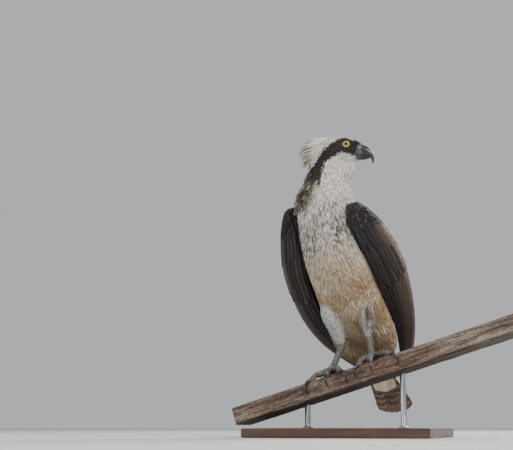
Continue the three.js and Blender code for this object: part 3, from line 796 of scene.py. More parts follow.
def locks(name, bends, normals, halves, pointed, colours, places, mat, slot="wing_feathers", ridge=0.14):
    """bends and normals are shaped (3, count, 3); colours are (3, count, 3): root, tip and shaft."""
    s = RING_S[:, None, None]
    line = bends[0] * (2 * (s - 0.5) * (s - 1)) - bends[1] * (4 * s * (s - 1))
    line = line + bends[2] * (2 * s * (s - 0.5))
    up = unit(normals[0] * (1 - s) + normals[2] * s)
    ahead = unit(np.gradient(line, axis=0))
    across = unit(np.cross(up, ahead))
    over = np.cross(ahead, across)
    profile = ROUNDED[:, None] * (1 - pointed) + POINTED[:, None] * pointed
    width = (profile * halves)[..., None]
    left = line - across * width - over * width * 0.12
    top = line + over * (width * ridge + 0.14)
    right = line + across * width - over * width * 0.12
    points = np.stack([left, top, right], axis=2).transpose(1, 0, 2, 3)
    shade = colours[0][:, None] * (1 - RING_S[None, :, None]) + colours[1][:, None] * RING_S[None, :, None]
    shades = np.repeat(shade[:, :, None], 3, axis=2)
    shades[:, :, 1] = shade * 0.45 + colours[2][:, None] * 0.55
    vane = np.stack(np.broadcast_arrays(np.array([0, 0.5, 1]), RING_S[:, None]), axis=-1)
    vane = np.broadcast_to(vane, (len(halves), 5, 3, 2))
    bake = places[:, None, None] + (vane - 0.5) * 0.003
    caps = np.array([[0, 2, 1], [12, 13, 14]])
    pieces = math.ceil(len(halves) / MOST_IN_PIECE)
    for k, part in enumerate(np.array_split(np.arange(len(halves)), pieces)):
        start = (np.arange(len(part)) * 15)[:, None, None]
        faces = [(grid_faces(5, 3)[None] + start).reshape(-1, 4), (caps[None] + start).reshape(-1, 3)]
        maps = {"OFBake": bake[part].reshape(-1, 2), "Vane": vane[part].reshape(-1, 2)}
        piece_name = name if pieces == 1 else f"{name}_{k + 1}"
        mesh_object(piece_name, points[part], faces, mat, shades[part], maps, slot=slot)


def rooted_bends(tree, roots, normals, lies, lengths, rises, sunk=0.8):
    """Bends each feather along the skin: its root just under it, its middle and tip lifted off it."""
    bends = np.zeros((3, len(roots), 3))
    ups = np.zeros((3, len(roots), 3))
    bends[0] = roots - normals * sunk
    ups[0] = normals
    here = roots
    heading = lies
    for k, share in ((1, 0.62), (2, 1.0)):
        aims = here + heading * (lengths / 2)[:, None]
        for i, aim in enumerate(aims):
            spot, normal, _, _ = tree.find_nearest(Vector(aim))
            bends[k, i] = spot
            ups[k, i] = normal
        here = bends[k].copy()
        heading = flat(heading, ups[k])
        bends[k] += ups[k] * (rises * share)[:, None]
    return bends, ups


def scatter(points, normals, triangles, spacing):
    """Even random places on a surface, with its normals there. spacing has a value for each point."""
    corner = points[triangles]
    area = np.linalg.norm(np.cross(corner[:, 1] - corner[:, 0], corner[:, 2] - corner[:, 0]), axis=-1) / 2
    wanted = area / spacing[triangles].mean(1) ** 2
    count = np.floor(wanted + random.random(len(wanted))).astype(int)
    chosen = np.repeat(np.arange(len(triangles)), count)
    a, b = random.random((2, len(chosen)))
    flip = a + b > 1
    a = np.where(flip, 1 - a, a)
    b = np.where(flip, 1 - b, b)
    weight = np.stack([1 - a - b, a, b], axis=-1)[..., None]
    tri = triangles[chosen]
    return np.sum(points[tri] * weight, axis=1), unit(np.sum(normals[tri] * weight, axis=1))


def turned(lies, normals, spread):
    """Turns each direction a little, by a random angle about its normal."""
    angle = np.radians(random.normal(0, spread, len(lies)))[:, None]
    return lies * np.cos(angle) + np.cross(normals, lies) * np.sin(angle)


# The coat over the skin: sizes by zone, for belly, breast, nape, head, face and thigh
COAT = {
    "spacing": (2.45, 2.25, 2.6, 1.3, 1.05, 1.6),
    "length": (22, 18, 19, 8, 3.4, 9),
    "half_width": (2.1, 1.9, 2.4, 0.85, 0.55, 0.95),
    "rise": (2.5, 2.9, 4.4, 1.5, 0.6, 1.7),
    "pointed": (0.8, 0.9, 0.7, 0.8, 0.6, 0.8),
}
REGIONS = [
    ("coat_thighs", "belly_feathers"),
    ("coat_head", "white_feathers"),
    ("coat_nape", "white_feathers"),
    ("coat_breast", "white_feathers"),
    ("coat_belly", "belly_feathers"),
]
THROAT_LIE = np.array([-0.42, 0, -0.9])
DROOP = np.array([0, 0, -0.3])


def with_places(zone, points):
    """Adds each point's height, and its share of the breast and face, to what plumage gives."""
    height = to_bird(points)[:, 2]
    face = zone["head"] * smooth(points[:, 0] - HEAD[0], 4, 34)
    return {**zone, "height": height, "breast": smooth(height, 190, 240), "face": face}


def by_zone(key, zone):
    value = COAT[key][0]
    for size, name in zip(COAT[key][1:], ("breast", "nape", "head", "face", "thigh")):
        value = mix(value, size, zone[name])
    return value


def eye_centre(sign):
    return HEAD + np.array([EYE["forward"], sign * EYE["side"], EYE["up"]])


def coat_lies(roots, normals, zone):
    """The way each feather points: down the spine or the leg, hanging under the throat."""
    forward, _, up = (roots - HEAD).T
    lies, along = along_spine(roots)
    for leg in LEGS.values():
        path = thigh_line(leg)
        nearest = np.linalg.norm(roots[:, None] - path[None], axis=-1).argmin(1)
        down = unit(np.gradient(path, axis=0))[nearest]
        near = (zone["thigh"] * (np.sign(roots[:, 0] - 8) == leg["sign"]))[:, None]
        lies = unit(lies * (1 - near) + down * near)
    hanging = smooth(up, -6, -22) * smooth(forward, -8, 12) * smooth(up, -100, -60)
    lies = unit(mix(lies, THROAT_LIE, hanging[:, None]))
    lies = unit(lies + DROOP * zone["head"][:, None] * (1 - zone["face"])[:, None])
    return turned(flat(lies, normals), normals, 9), along


skin_triangles = triangles_of(skin.data)
skin_tree = BVHTree.FromPolygons(skin_points.tolist(), skin_triangles.tolist())
spacing = by_zone("spacing", with_places(skin_zones, skin_points))
roots, root_normals = scatter(skin_points, skin_normals, skin_triangles, spacing)
# No feather is rooted in the base of the bill or in an eye.
clear = (roots[:, 0] - HEAD[0] < 43) | (roots[:, 2] - HEAD[2] < -24)
for sign in (-1, 1):
    clear &= np.linalg.norm(roots - eye_centre(sign), axis=-1) > EYE["radius"] + 0.6
roots = roots[clear]
root_normals = root_normals[clear]
count = len(roots)
up = roots[:, 2] - HEAD[2]
jitter = graph(up, [(-40, 2.6), (-10, 1.1)])[:, None]
base_colours, zone = plumage(roots + random.normal(0, 1.0, roots.shape) * jitter, root_normals)
zone = with_places(zone, roots)
lies, coat_along = coat_lies(roots, root_normals, zone)
lengths = by_zone("length", zone) * random.uniform(0.75, 1.25, count)
from_ankles = [np.linalg.norm(roots - on_perch(*leg["ankle"]), axis=-1) for leg in LEGS.values()]
lengths = lengths * (1 + 0.9 * smooth(np.min(from_ankles, axis=0), 30, 8) * zone["thigh"])
halves = by_zone("half_width", zone) * random.choice([0.7, 1.0, 1.45], count)
ruffled = zone["nape"] * smooth(up, -40, -66) * smooth(up, -160, -120)
rises = (by_zone("rise", zone) + 5.5 * ruffled) * random.uniform(0.25, 1.15, count)
pointed = by_zone("pointed", zone)
tip_colours = base_colours * random.normal(1, 0.055, count)[:, None]
root_colours = tip_colours * 0.9
in_band = random.random(count) < 0.1 * zone["band"]
darker = smooth(zone["height"], 262, 232) * random.random(count)
shafts = np.where(in_band[:, None], mix(RUST, DARK, darker[:, None]), tip_colours * 0.97)
pale_tip = (zone["nape"] > 0.4) & (random.random(count) < 0.16)
tip_colours = np.where(pale_tip[:, None], tip_colours * 0.4 + CREAM * 0.45, tip_colours)
bends, ups = rooted_bends(skin_tree, roots, root_normals, lies, lengths, rises)
places = bake_place(roots, coat_along)
tests = [zone["thigh"] > 0.5, zone["head"] > 0.5, zone["nape"] > 0.5, zone["height"] > 236]
region = np.select(tests, [0, 1, 2, 3], 4)
for k, (name, slot) in enumerate(REGIONS):
    some = np.flatnonzero(region == k)
    colours = np.stack([root_colours[some], tip_colours[some], shafts[some]])
    mat = nape_material if name == "coat_nape" else coat_material
    locks(name, bends[:, some], ups[:, some], halves[some], pointed[some], colours, places[some], mat, slot)


# The crest: rows of locks over the nape, white with brown tips, the lower ones browner and darker,
# partly their own brown and partly painted shade under the crest. Each row has its roots' and tips'
# places, forward and up from the head, and its share of brown and painted shade.
CREST_ROWS = [
    ((-8, 26.5), (-52, 23), 0.0),
    ((-14, 25), (-57, 17), 0.05),
    ((-20, 23), (-60, 9), 0.15),
    ((-26, 17), (-63, 1), 0.3),
    ((-32, 8), (-62, -9), 0.45),
    ((-34, -4), (-57, -20), 0.6),
    ((-34, -12), (-50, -30), 0.7),
]
ROW_LOCKS = 33
ROW_CLUMPS = 7
BUFF = linear(176, 146, 108)


def crest_row(row, root, tip, brown_and_shade):
    """The bends, normals and colours of one row, whose locks lean together in clumps."""
    turn = np.radians(np.linspace(-76, 76, ROW_LOCKS) + random.normal(0, 2.5, ROW_LOCKS))
    clump = np.round(np.linspace(-0.4, ROW_CLUMPS - 0.6, ROW_LOCKS) + 0.5 * (row % 2))
    clump = np.clip(clump, 0, ROW_CLUMPS - 1).astype(int)
    clump_reach = random.uniform(0.68, 1.08, ROW_CLUMPS)[clump]
    sway = random.normal(0, 3.0, ROW_CLUMPS)[clump]
    lift = random.normal(0, 2.0, ROW_CLUMPS)[clump]
    clump_turn = np.radians(np.linspace(-72, 72, ROW_CLUMPS))[clump]
    reach = clump_reach * random.uniform(0.88, 1.04, ROW_LOCKS)
    points = []
    for s in (0, 0.5, 1):
        bent = mix(turn, clump_turn, 0.5 * s)
        side = np.sin(bent) * (18.5 - 5 * s) + sway * s * s + random.normal(0, 0.5, ROW_LOCKS) * s
        forward = root[0] + (tip[0] - root[0]) * s * reach
        up = (root[1] + (tip[1] - root[1]) * s * reach) * np.cos(bent) ** 0.35 + 2.6 * math.sin(math.pi * s)
        up = up + lift * s * s + random.normal(0, 0.5, ROW_LOCKS) * s
        points.append(head_place(forward, side, up))
    up = unit(np.stack([np.full(ROW_LOCKS, -0.45), np.sin(turn), 0.9 * np.cos(turn)], axis=-1))
    white = WHITE * random.uniform(0.82, 1.04, (ROW_LOCKS, 1))
    tips = tint(white, BUFF, np.clip(0.6 + brown_and_shade + random.normal(0, 0.2, ROW_LOCKS), 0, 1))
    # Umber on the lower rows' tips and shafts: partly their own brown, partly painted shade under the crest.
    tips = tint(tips, UMBER, np.clip(brown_and_shade * 0.8 + random.normal(0, 0.25, ROW_LOCKS), 0, 0.9))
    shaft = tint(white, UMBER, np.clip(brown_and_shade * 0.5 + random.normal(0, 0.15, ROW_LOCKS), 0, 1))
    return np.stack(points), np.stack([up, up, up]), np.stack([white, tips, shaft])


crest = [crest_row(row, *sizes) for row, sizes in enumerate(CREST_ROWS)]
bends, ups, colours = (np.concatenate(part, axis=1) for part in zip(*crest))
count = bends.shape[1]
halves = random.uniform(1.4, 2.5, count)
places = bake_place(bends[0], along_spine(bends[0])[1])
locks("crest", bends, ups, halves, 0.75, colours, places, coat_material, "white_feathers", 0.3)


# Wings, from the same four edges as the solids, each with five points from the wrist to the wing's end
WING_EDGES = np.array(
    [
        [[57, -64, 280], [50, -58, 238], [60, -8, 165], [56, 75, 74], [20, 176, -14]],
        [[69, -46, 286], [91, -14, 238], [103, 36, 164], [84, 98, 74], [26, 180, -13]],
        [[58, -22, 287], [73, 34, 252], [78, 84, 180], [59, 124, 86], [24, 184, -10]],
        [[28, 2, 286], [9, 44, 256], [3, 84, 184], [5, 122, 90], [12, 186, -8]],
    ],
    float,
)


def wing_place(u, t):
    u, t = np.broadcast_arrays(u, t)
    shape = u.shape
    rows = np.stack([catmull(edge, t.ravel()) for edge in WING_EDGES])
    return catmull(rows, u.ravel()).reshape(*shape, 3)


def wing_frame(u, t):
    """The place, outward normal and millimetres per unit of u at each point of the wing's surface."""
    step = 0.015
    low = np.clip(u - step, 0, 1)
    high = np.clip(u + step, 0, 1)
    across = wing_place(high, t) - wing_place(low, t)
    down = wing_place(u, np.clip(t + step, 0, 1)) - wing_place(u, np.clip(t - step, 0, 1))
    pace = np.linalg.norm(across, axis=-1) / (high - low)
    return wing_place(u, t), unit(np.cross(down, across)), pace


def on_side(points, sign):
    """Takes points of the left wing to their place on the posed bird, on either side."""
    points = np.array(points, float)
    if sign < 0:
        points[..., 0] *= -1
        height = points[..., 2].copy()
        held_out = WING_FULLNESS * smooth(height, -30, 130) * (1 - 0.85 * smooth(height, 190, 300))
        points[..., 0] -= held_out * smooth(-points[..., 0], 50, 86)
        points[..., 2] += SHOULDER_LIFT * smooth(height, 120, 290)
    return place_bird(points)


def wing_thickness(u, t):
    arm = mix(46, 4.2, smooth(t, 0.2, 0.56))
    edge = mix(9, 2.4, smooth(t, 0.1, 0.6))
    return mix(edge, arm, np.sin(np.pi * np.clip(u, 0, 1)) ** 0.7)


SECTION = np.array([(-1, 0), (-0.5, 0), (0, 0), (0.5, 0), (1, 0), (0.5, 1), (0, 1), (-0.5, 1)], float)
VANE_S = 1 - (1 - np.linspace(0, 1, 15)) ** 1.7


def vane_width(s, blunt):
    """A vane's width along it: a narrow root, full sides, and a blunt or pointed tip."""
    root = 0.5 + 0.5 * smooth(s, 0, 0.3)
    tip = np.sqrt(np.clip(1 - np.clip((s - blunt) / (1 - blunt), 0, 1) ** 2.4, 0, 1))
    return root * np.maximum(tip, 0.05)


def vanes(name, points, colours, mat, slot):
    """Large feathers from points shaped (count, rings, 8, 3), each with its own cell of the bake map."""
    count, rings = points.shape[:2]
    u = np.broadcast_to((SECTION[:, 0] + 1) / 2, (count, rings, 8))
    s = np.broadcast_to(VANE_S[:, None], (count, rings, 8))
    vane = np.stack([u, s], axis=-1)
    side = math.ceil(math.sqrt(count))
    cell = np.arange(count)
    corner = np.stack([cell % side, cell // side], axis=-1)[:, None, None] / side
    under = (SECTION[:, 1] * 0.02)[:, None]
    bake = corner + (vane * 0.86 + 0.06 + under) / side
    shades = colours[:, None, None] * (1 + 0.9 * SECTION[:, 1])[:, None]
    start = (np.arange(count) * rings * 8)[:, None, None]
    cap = np.array([[7, 1, 0], [7, 6, 1], [6, 2, 1], [6, 5, 2], [5, 3, 2], [5, 4, 3]])
    caps = np.concatenate([cap, cap[:, ::-1] + (rings - 1) * 8])
    faces = [(part[None] + start).reshape(-1, part.shape[1]) for part in (grid_faces(rings, 8), caps)]
    maps = {"OFBake": bake.reshape(-1, 2), "Vane": vane.reshape(-1, 2)}
    return mesh_object(name, points, faces, mat, np.broadcast_to(shades, points.shape), maps, slot=slot)


# Tiers of wing feathers: count, places across the wing, places of roots and of tips down the wing,
# half-width, heights of root and tip over the wing, bluntness and shade. The pairs of places are for
# the first and the last feather of the tier.
WING_TIERS = {
    "primaries": (9, (0.03, 0.36), (0.44, 0.5), (1.0, 0.86), 9, (0.2, 1.0), 0.86, 0.85),
    "secondaries": (14, (0.34, 0.95), (0.42, 0.36), (0.86, 0.72), 8.5, (0.3, 1.5), 0.88, 1.1),
    "tertials": (5, (0.78, 0.97), (0.28, 0.28), (0.62, 0.74), 8.5, (0.8, 2.6), 0.84, 1.25),
    "primary_coverts": (8, (0.04, 0.3), (0.26, 0.27), (0.57, 0.53), 5.5, (0.8, 1.8), 0.85, 0.85),
    "greater_coverts": (18, (0.22, 0.95), (0.22, 0.2), (0.5, 0.47), 6.2, (1.0, 2.2), 0.86, 1.1),
    "median_coverts": (21, (0.05, 0.95), (0.17, 0.16), (0.37, 0.36), 5.6, (1.2, 2.6), 0.8, 1.0),
    "scapulars": (8, (0.62, 0.98), (0.12, 0.12), (0.4, 0.5), 5.8, (1.6, 3.6), 0.82, 1.25),
}
WING_BROWN = linear(92, 78, 69)
WING_BLACK = linear(38, 36, 37)
PALE_TIP = linear(150, 138, 126)
WRIST_CAPS = ((0.8, 6.4), (0.45, 5.6), (0.14, 3.2))


def wing_tier(number, us, root, tip, half, height, blunt, shade):
    """The points and colours of one tier, before the bird is posed."""
    share = np.linspace(0, 1, number)
    u0 = mix(*us, share) + random.normal(0, 0.004, number)
    t0 = mix(*root, share)
    t1 = mix(*tip, share) + random.normal(0, 0.006, number)
    s = VANE_S[None, :]
    t = mix(t0[:, None], t1[:, None], s)
    u = np.broadcast_to(u0[:, None], t.shape)
    pace = wing_frame(u, t)[2]
    width = half * vane_width(s, blunt) * (1 - 0.45 * smooth(t, 0.8, 1.0))
    w = SECTION[:, 0]
    spread = np.clip(u[..., None] + w * (width / pace)[..., None], 0, 1)
    normal = wing_frame(spread, np.clip(t, 0.01, 0.99)[..., None])[1]
    lift = mix(*height, smooth(s, 0, 0.4))[..., None] + 0.55 * (1 - w**2) - 0.5 * w
    lift = lift + 0.5 * smooth(s, 0.85, 1)[..., None]
    lift = lift - SECTION[:, 1] * 0.75
    tone = shade * random.uniform(0.8, 1.2, number)
    aged = smooth(u0 + random.normal(0, 0.07, number), 0.1, 0.44)
    tone = tone * (1 - 0.42 * smooth(u0, 0.42, 0.62))
    colours = mix(WING_BLACK, WING_BROWN, aged[:, None]) * tone[:, None]
    return wing_place(spread, t[..., None]) + normal * lift[..., None], colours


def lesser_coverts(sign, name):
    """Rows of small rounded feathers over the upper part of the wing."""
    rows = np.arange(0.012, 0.215, 0.0165)
    across = 30
    stagger = 0.5 / across * (np.arange(len(rows)) % 2)[:, None]
    u = (np.linspace(0.02, 0.99, across)[None] + stagger).ravel()
    count = len(u)
    u = u + random.normal(0, 0.006, count)
    t = np.repeat(rows, across) + random.normal(0, 0.002, count)
    u = np.clip(u, 0.01, 0.99)
    bends = []
    ups = []
    for share, lift in ((0, 0.6), (0.5, 2.4), (1.0, 3.0)):
        place, normal, _ = wing_frame(u, np.clip(t + 0.05 * share, 0.01, 1))
        place = place + normal * (lift * smooth(t, -0.02, 0.03) * random.uniform(0.85, 1.15, count))[:, None]
        bends.append(on_side(place, sign))
        ups.append(unit(on_side(place + normal, sign) - bends[-1]))
    aged = smooth(u + random.normal(0, 0.08, count), 0.35, 0.9)
    tone = mix(WING_BLACK, WING_BROWN, 0.7 * aged[:, None]) * random.uniform(0.65, 1.05, (count, 1))
    pale = random.random(count) < 0.3 * smooth(u, 0.25, 0.0) + 0.02
    tips = np.where(pale[:, None], tone * 0.6 + PALE_TIP * 0.3, tone * 1.2)
    halves = random.uniform(2.9, 3.7, count)
    colours = np.stack([tone * 0.7, tips, tone * 0.8])
    places = np.stack([0.04 + 0.9 * u, 0.04 + 3.2 * t], axis=-1)
    locks("lesser_coverts_" + name, bends, ups, halves, 0, colours, places, covert_material, ridge=0.08)


def wing_arm(sign, name):
    """The closed arm under the feathers, rounded at the wrist."""
    t, u = np.meshgrid(np.linspace(0, 0.66, 34), np.linspace(0, 1, 22), indexing="ij")
    place, normal, _ = wing_frame(u, t)
    inner = place - normal * wing_thickness(u, t)[..., None]
    rings = np.concatenate([place - normal * 0.4, inner[:, ::-1]], axis=1)
    middle = rings[0].mean(0)
    wrist = [mix(rings[0], middle, share) + [0, -1, rise] for share, rise in WRIST_CAPS]
    points, faces = tube(on_side(np.concatenate([np.stack(wrist), rings[1:]]), sign))
    if sign < 0:
        faces = flipped(faces)
    colours = np.tile(WING_BROWN * 0.35, (len(points), 1))
    arm = mesh_object("wing_arm_" + name, points, faces, skin_material, colours, slot="wing_feathers")
    soften(arm, 0.5, 4)
    return arm.data


def arm_coverts(arm, sign, name):
    """Small coverts over the wrist and down the arm's leading edge."""
    spots, normals = corners_of(arm)
    triangles = triangles_of(arm)
    tree = BVHTree.FromPolygons(spots.tolist(), triangles.tolist())
    line_t = np.linspace(0, 1, 80)
    line = on_side(wing_place(0.3, line_t), sign)
    ahead = unit(np.gradient(line, axis=0))
    edge = on_side(wing_place(0.0, line_t), sign)
    roots, root_normals = scatter(spots, normals, triangles, np.full(len(spots), 2.6))
    near_edge = np.linalg.norm(roots[:, None] - edge[None], axis=-1).min(1)
    nearest = np.linalg.norm(roots[:, None] - line[None], axis=-1).argmin(1)
    down = line_t[nearest]
    keep = (down < 0.05) | ((near_edge < 12) & (down < 0.58))
    roots, root_normals, nearest, down = (part[keep] for part in (roots, root_normals, nearest, down))
    count = len(roots)
    lies = turned(flat(ahead[nearest], root_normals), root_normals, 7)
    lengths = random.uniform(8, 10, count)
    rises = random.uniform(0.5, 0.8, count)
    bends, ups = rooted_bends(tree, roots, root_normals, lies, lengths, rises)
    tone = mix(WING_BLACK, WING_BROWN, 0.25) * random.uniform(0.8, 1.2, (count, 1))
    pale = random.random(count) < 0.22 * smooth(down, 0.12, 0.0) + 0.01
    tips = np.where(pale[:, None], tone * 0.4 + PALE_TIP * 0.6, tone * 1.15)
    places = random.uniform(0.02, 0.98, (count, 2))
    halves = random.uniform(2.4, 3.0, count)
    colours = np.stack([tone * 0.8, tips, tone * 0.75])
    locks("wing_coverts_" + name, bends, ups, halves, 0.05, colours, places, covert_material, ridge=0.07)


for sign, name in ((1, "left"), (-1, "right")):
    arm_coverts(wing_arm(sign, name), sign, name)
    tiers = [wing_tier(*tier) for tier in WING_TIERS.values()]
    points, colours = (np.concatenate(part) for part in zip(*tiers))
    lesser_coverts(sign, name)
    wing = vanes("wing_feathers_" + name, on_side(points, sign), colours, wing_material, "wing_feathers")
    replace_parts(wing, "wing_" + name)

# Tail: twelve feathers fanned from one root, with coverts over and under them
TAIL_ROOT = np.array([0, 52, 58.0])
TAIL_DOWN = unit(np.array([-0.05, 0.8, -0.6]))
TAIL_BACK = unit(np.array([0, 0.6, 0.8]))


def tail_place(reach, angle, height, aside=0.0):
    reach, angle, height, aside = np.broadcast_arrays(reach, angle, height, aside)
    along = reach * np.cos(angle) - aside * np.sin(angle)
    out = reach * np.sin(angle) + aside * np.cos(angle)
    return TAIL_ROOT + along[..., None] * TAIL_DOWN + out[..., None] * X + height[..., None] * TAIL_BACK


def tail_fan(number, reach, start, half, height, step, spread, tone, blunt):
    from_middle = np.arange(number) - (number - 1) / 2
    angle = (math.radians(spread) * from_middle / (number - 1))[:, None, None]
    tier = (height - step * np.abs(from_middle) ** 1.1)[:, None, None]
    length = (reach * (1 - 0.0022 * from_middle**2))[:, None, None]
    s = VANE_S[None, :, None]
    w = SECTION[None, None, :, 0]
    lift = tier - 5 * s * s + 3 * s + 0.6 * (1 - w**2) - SECTION[None, None, :, 1] * 0.7
    lift = lift - np.sign(from_middle)[:, None, None] * w * half * 0.07
    points = tail_place(mix(start, length, s), angle, lift, w * half * vane_width(s, blunt))
    return place_bird(points), tone * random.uniform(0.85, 1.15, (number, 1))


# Each fan has its count, reach, roots' distance, half-width, height, fall to the sides, spread in
# degrees, colour and bluntness.
TAIL_FANS = [
    ("tail_feathers", tail_material, [(12, 205, 62, 11.5, 2.2, 0.62, 15, linear(104, 86, 70), 0.9)]),
    (
        "tail_coverts_upper",
        wing_material,
        [
            (7, 128, 40, 8, 6.6, 0.8, 17, WING_BROWN * 1.3, 0.8),
            (6, 108, 32, 8, 9.0, 0.9, 17, WING_BROWN * 1.2, 0.8),
        ],
    ),
    (
        "tail_coverts_under",
        coat_material,
        [
            (9, 136, 40, 6.5, -4.8, -0.6, 17, mix(CREAM, TAN, 0.4), 0.5),
            (8, 122, 34, 6.5, -6.4, -0.6, 16, mix(CREAM, TAN, 0.2), 0.5),
            (9, 106, 26, 6.5, -8.0, -0.6, 18, CREAM, 0.5),
            (8, 88, 18, 6.5, -9.6, -0.6, 18, mix(CREAM, TAN, 0.5), 0.5),
        ],
    ),
]
for name, mat, fans in TAIL_FANS:
    points, colours = (np.concatenate(part) for part in zip(*[tail_fan(*fan) for fan in fans]))
    feathers = vanes(name, points, colours, mat, "tail_feathers")
    if name == "tail_feathers":
        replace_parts(feathers, "tail")

# The tail's root: how far down the tail, half-width and half-thickness
TAIL_ROOT_ROWS = np.array([(2, 13, 8), (30, 23, 11), (70, 23, 6), (100, 18, 2)], float)
angle = circle(32)
rings = [
    tail_place(reach, 0.0, 1 + thick * np.sin(angle), wide * np.cos(angle))
    for reach, wide, thick in catmull(TAIL_ROOT_ROWS, np.linspace(0, 1, 14))
]
points, faces = tube(place_bird(np.array(rings)))
colours = np.tile(TAN * 0.7, (len(points), 1))
mesh_object("tail_root", points, faces, skin_material, colours, slot="tail_feathers")

# Bill: the upper part with its cere and nostrils, and the lower part. Each row has the ridge's place,
# forward and up from the head, then the lower edge's place, then the half-width.
UPPER_BILL = [
    [44.6, 15.6, 44.6, -11.6, 12.2],
    [49, 12.6, 49, -12.4, 10.9],
    [54, 9.6, 54, -12.9, 9.5],
    [60, 6.8, 59.6, -13.2, 8],
    [65.4, 2.8, 64, -14, 6.5],
    [70, -3.2, 67.4, -15.8, 5],
    [73, -10.2, 69.2, -18.4, 3.6],
    [74, -17.4, 70.4, -21.8, 2.5],
    [73.3, -23.2, 71.2, -25, 1.4],
    [72.5, -27.2, 72.1, -27.4, 0.3],
]
LOWER_BILL = [
    [44.6, -10.4, 44.6, -17.9, 10],
    [50, -11, 50, -18.1, 8.6],
    [56, -11.4, 56, -17.8, 6.9],
    [61, -11.8, 61, -17.2, 5],
    [65, -12.4, 65, -16.4, 3.4],
    [67, -13.4, 67, -15, 0.8],
]
SLATE = linear(62, 70, 77)
HORN = linear(27, 29, 33)


CERE_EDGE = 53.6
NOSTRIL = {"place": np.array([52.6, 0.2]), "slit": np.array([1.0, 2.6]), "width": 0.95, "depth": 1.3}


def rounded(wave, squared):
    return (np.sign(wave) * np.abs(wave) ** squared)[None, :, None]


def bill_form(rows, steps, keel, cere):
    table = catmull(np.array(rows, float), np.linspace(0, 1, steps))
    angle = circle(56)
    top = head_place(table[:, 0], 0, table[:, 1])[:, None]
    bottom = head_place(table[:, 2], 0, table[:, 3])[:, None]
    squared = np.where(np.sin(angle) * keel < 0, 0.55, 1.0)
    rise = rounded(np.sin(angle), squared)
    # The sides flatten towards the ridge, and the edge that cuts is turned under.
    width = table[:, 4, None, None] * (1 - keel * np.clip(rise, 0, 1) ** 2)
    if cere:
        swell = smooth(table[:, 0], CERE_EDGE + 0.8, CERE_EDGE - 0.4)
        width = width * (1 + 0.05 * swell[:, None, None])
    return tube((top + bottom) / 2 + Y * rounded(np.cos(angle), squared) * width + (top - bottom) / 2 * rise)


def bill_piece(name, rows, steps, keel, cere):
    points, faces = bill_form(rows, steps, keel, cere)
    local = points - HEAD
    colours = np.tile(HORN, (len(points), 1)) * (0.9 + 0.25 * wobble(points, 6, 21)[:, None])
    if cere:
        soft_edge = local[:, 0] + 0.12 * local[:, 2] + 0.4 * wobble(points, 3, 22)
        colours = tint(colours, SLATE, smooth(soft_edge, CERE_EDGE + 1, CERE_EDGE - 1))
        slit = NOSTRIL["slit"]
        from_slit = local[:, [0, 2]] - NOSTRIL["place"]
        along = np.clip(from_slit @ slit / (slit @ slit), -0.7, 0.9)[:, None]
        gap = np.linalg.norm(from_slit - along * slit, axis=-1)
        for sign in (-1, 1):
            # Each nostril is pressed in, and its pit is painted near-black as painted shade inside it.
            hole = np.exp(-((gap / NOSTRIL["width"]) ** 2)) * (local[:, 1] * sign > 3)
            points = points - Y * sign * (NOSTRIL["depth"] * hole)[:, None]
            colours = tint(colours, BLACK * 0.5, np.clip(hole * 1.4, 0, 1))
    else:
        colours = tint(colours, SLATE * 0.8, smooth(local[:, 0], 55, 48))
    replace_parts(mesh_object(name + "_horn", points, faces, horn_material, colours, slot="bill"), name)


bill_piece("bill_upper", UPPER_BILL, 84, 0.34, True)
bill_piece("bill_lower", LOWER_BILL, 50, -0.1, False)

# Bristles lying forward over the base of the bill, longest on the forehead. The rows give the bill
# where they lie: forward from the head, then half-width, half-height and level.
BILL_BASE = [(44.6, 12.2, 13.6, 2.0), (49, 11.2, 12.6, 0.2), (54, 9.8, 11.4, -1.6)]
HEAD_END = 44.2
count = 420
around = random.uniform(math.radians(-24), math.radians(204), count)
start = random.uniform(38.5, 43.8, count)
length = mix(3.6, 8.0, np.clip(np.sin(around), 0, 1)) * random.uniform(0.7, 1.1, count)
bends = []
ups = []
for share in (0, 0.5, 1.0):
    forward = start + length * share
    on_head = smooth(forward, 46.5, 43)
    wide, tall, level = (
        mix(
            graph(forward, [(row[0], row[column]) for row in BILL_BASE]),
            between(HEAD_ROWS, np.minimum(forward, HEAD_END), column),
            on_head,
        )
        for column in (1, 2, 3)
    )
    lift = 0.2 + 0.9 * share - 0.6 * (share == 0)
    bends.append(head_place(forward, np.cos(around) * (wide + lift), level + np.sin(around) * (tall + lift)))
    ups.append(unit(np.stack([0 * around, np.cos(around) / wide, np.sin(around) / tall], axis=-1)))
pale = smooth(np.sin(around), 0.8, 1.0) * random.random(count)
bristle = mix(DARK, MOUSE * 0.7, pale[:, None]) * random.uniform(0.8, 1.2, (count, 1))
halves = random.uniform(0.4, 0.65, count)
places = bake_place(bends[0], along_spine(bends[0])[1])
colours = np.stack([bristle] * 3)
locks("lore_bristles", bends, ups, halves, 0.9, colours, places, coat_material, "white_feathers")

# Mouth corner: a soft fold running back under the eye from between the bill's two parts
for sign, name in ((-1, "right"), (1, "left")):
    path = [(47, 11.6 * sign, -11), (42, 15.6 * sign, -11.4), (36, 18.6 * sign, -10.6)]
    points, faces = head_limb(path, [1.0, 1.1, 0.4], 10, side=Z)
    colours = np.tile(SLATE * 0.5, (len(points), 1))
    mesh_object("gape_" + name, points, faces, lid_material, colours, slot="bill")

# Eyes: painted by the angle away from where each one looks, with dark lids round them
PUPIL = linear(5, 5, 6)
IRIS_STOPS = [
    (0.0, PUPIL),
    (0.175, PUPIL),
    (0.195, linear(128, 92, 8)),
    (0.27, linear(214, 176, 10)),
    (0.4, linear(206, 170, 14)),
    (0.465, linear(96, 66, 10)),
    (0.5, linear(12, 11, 10)),
    (1.0, linear(14, 12, 12)),
]
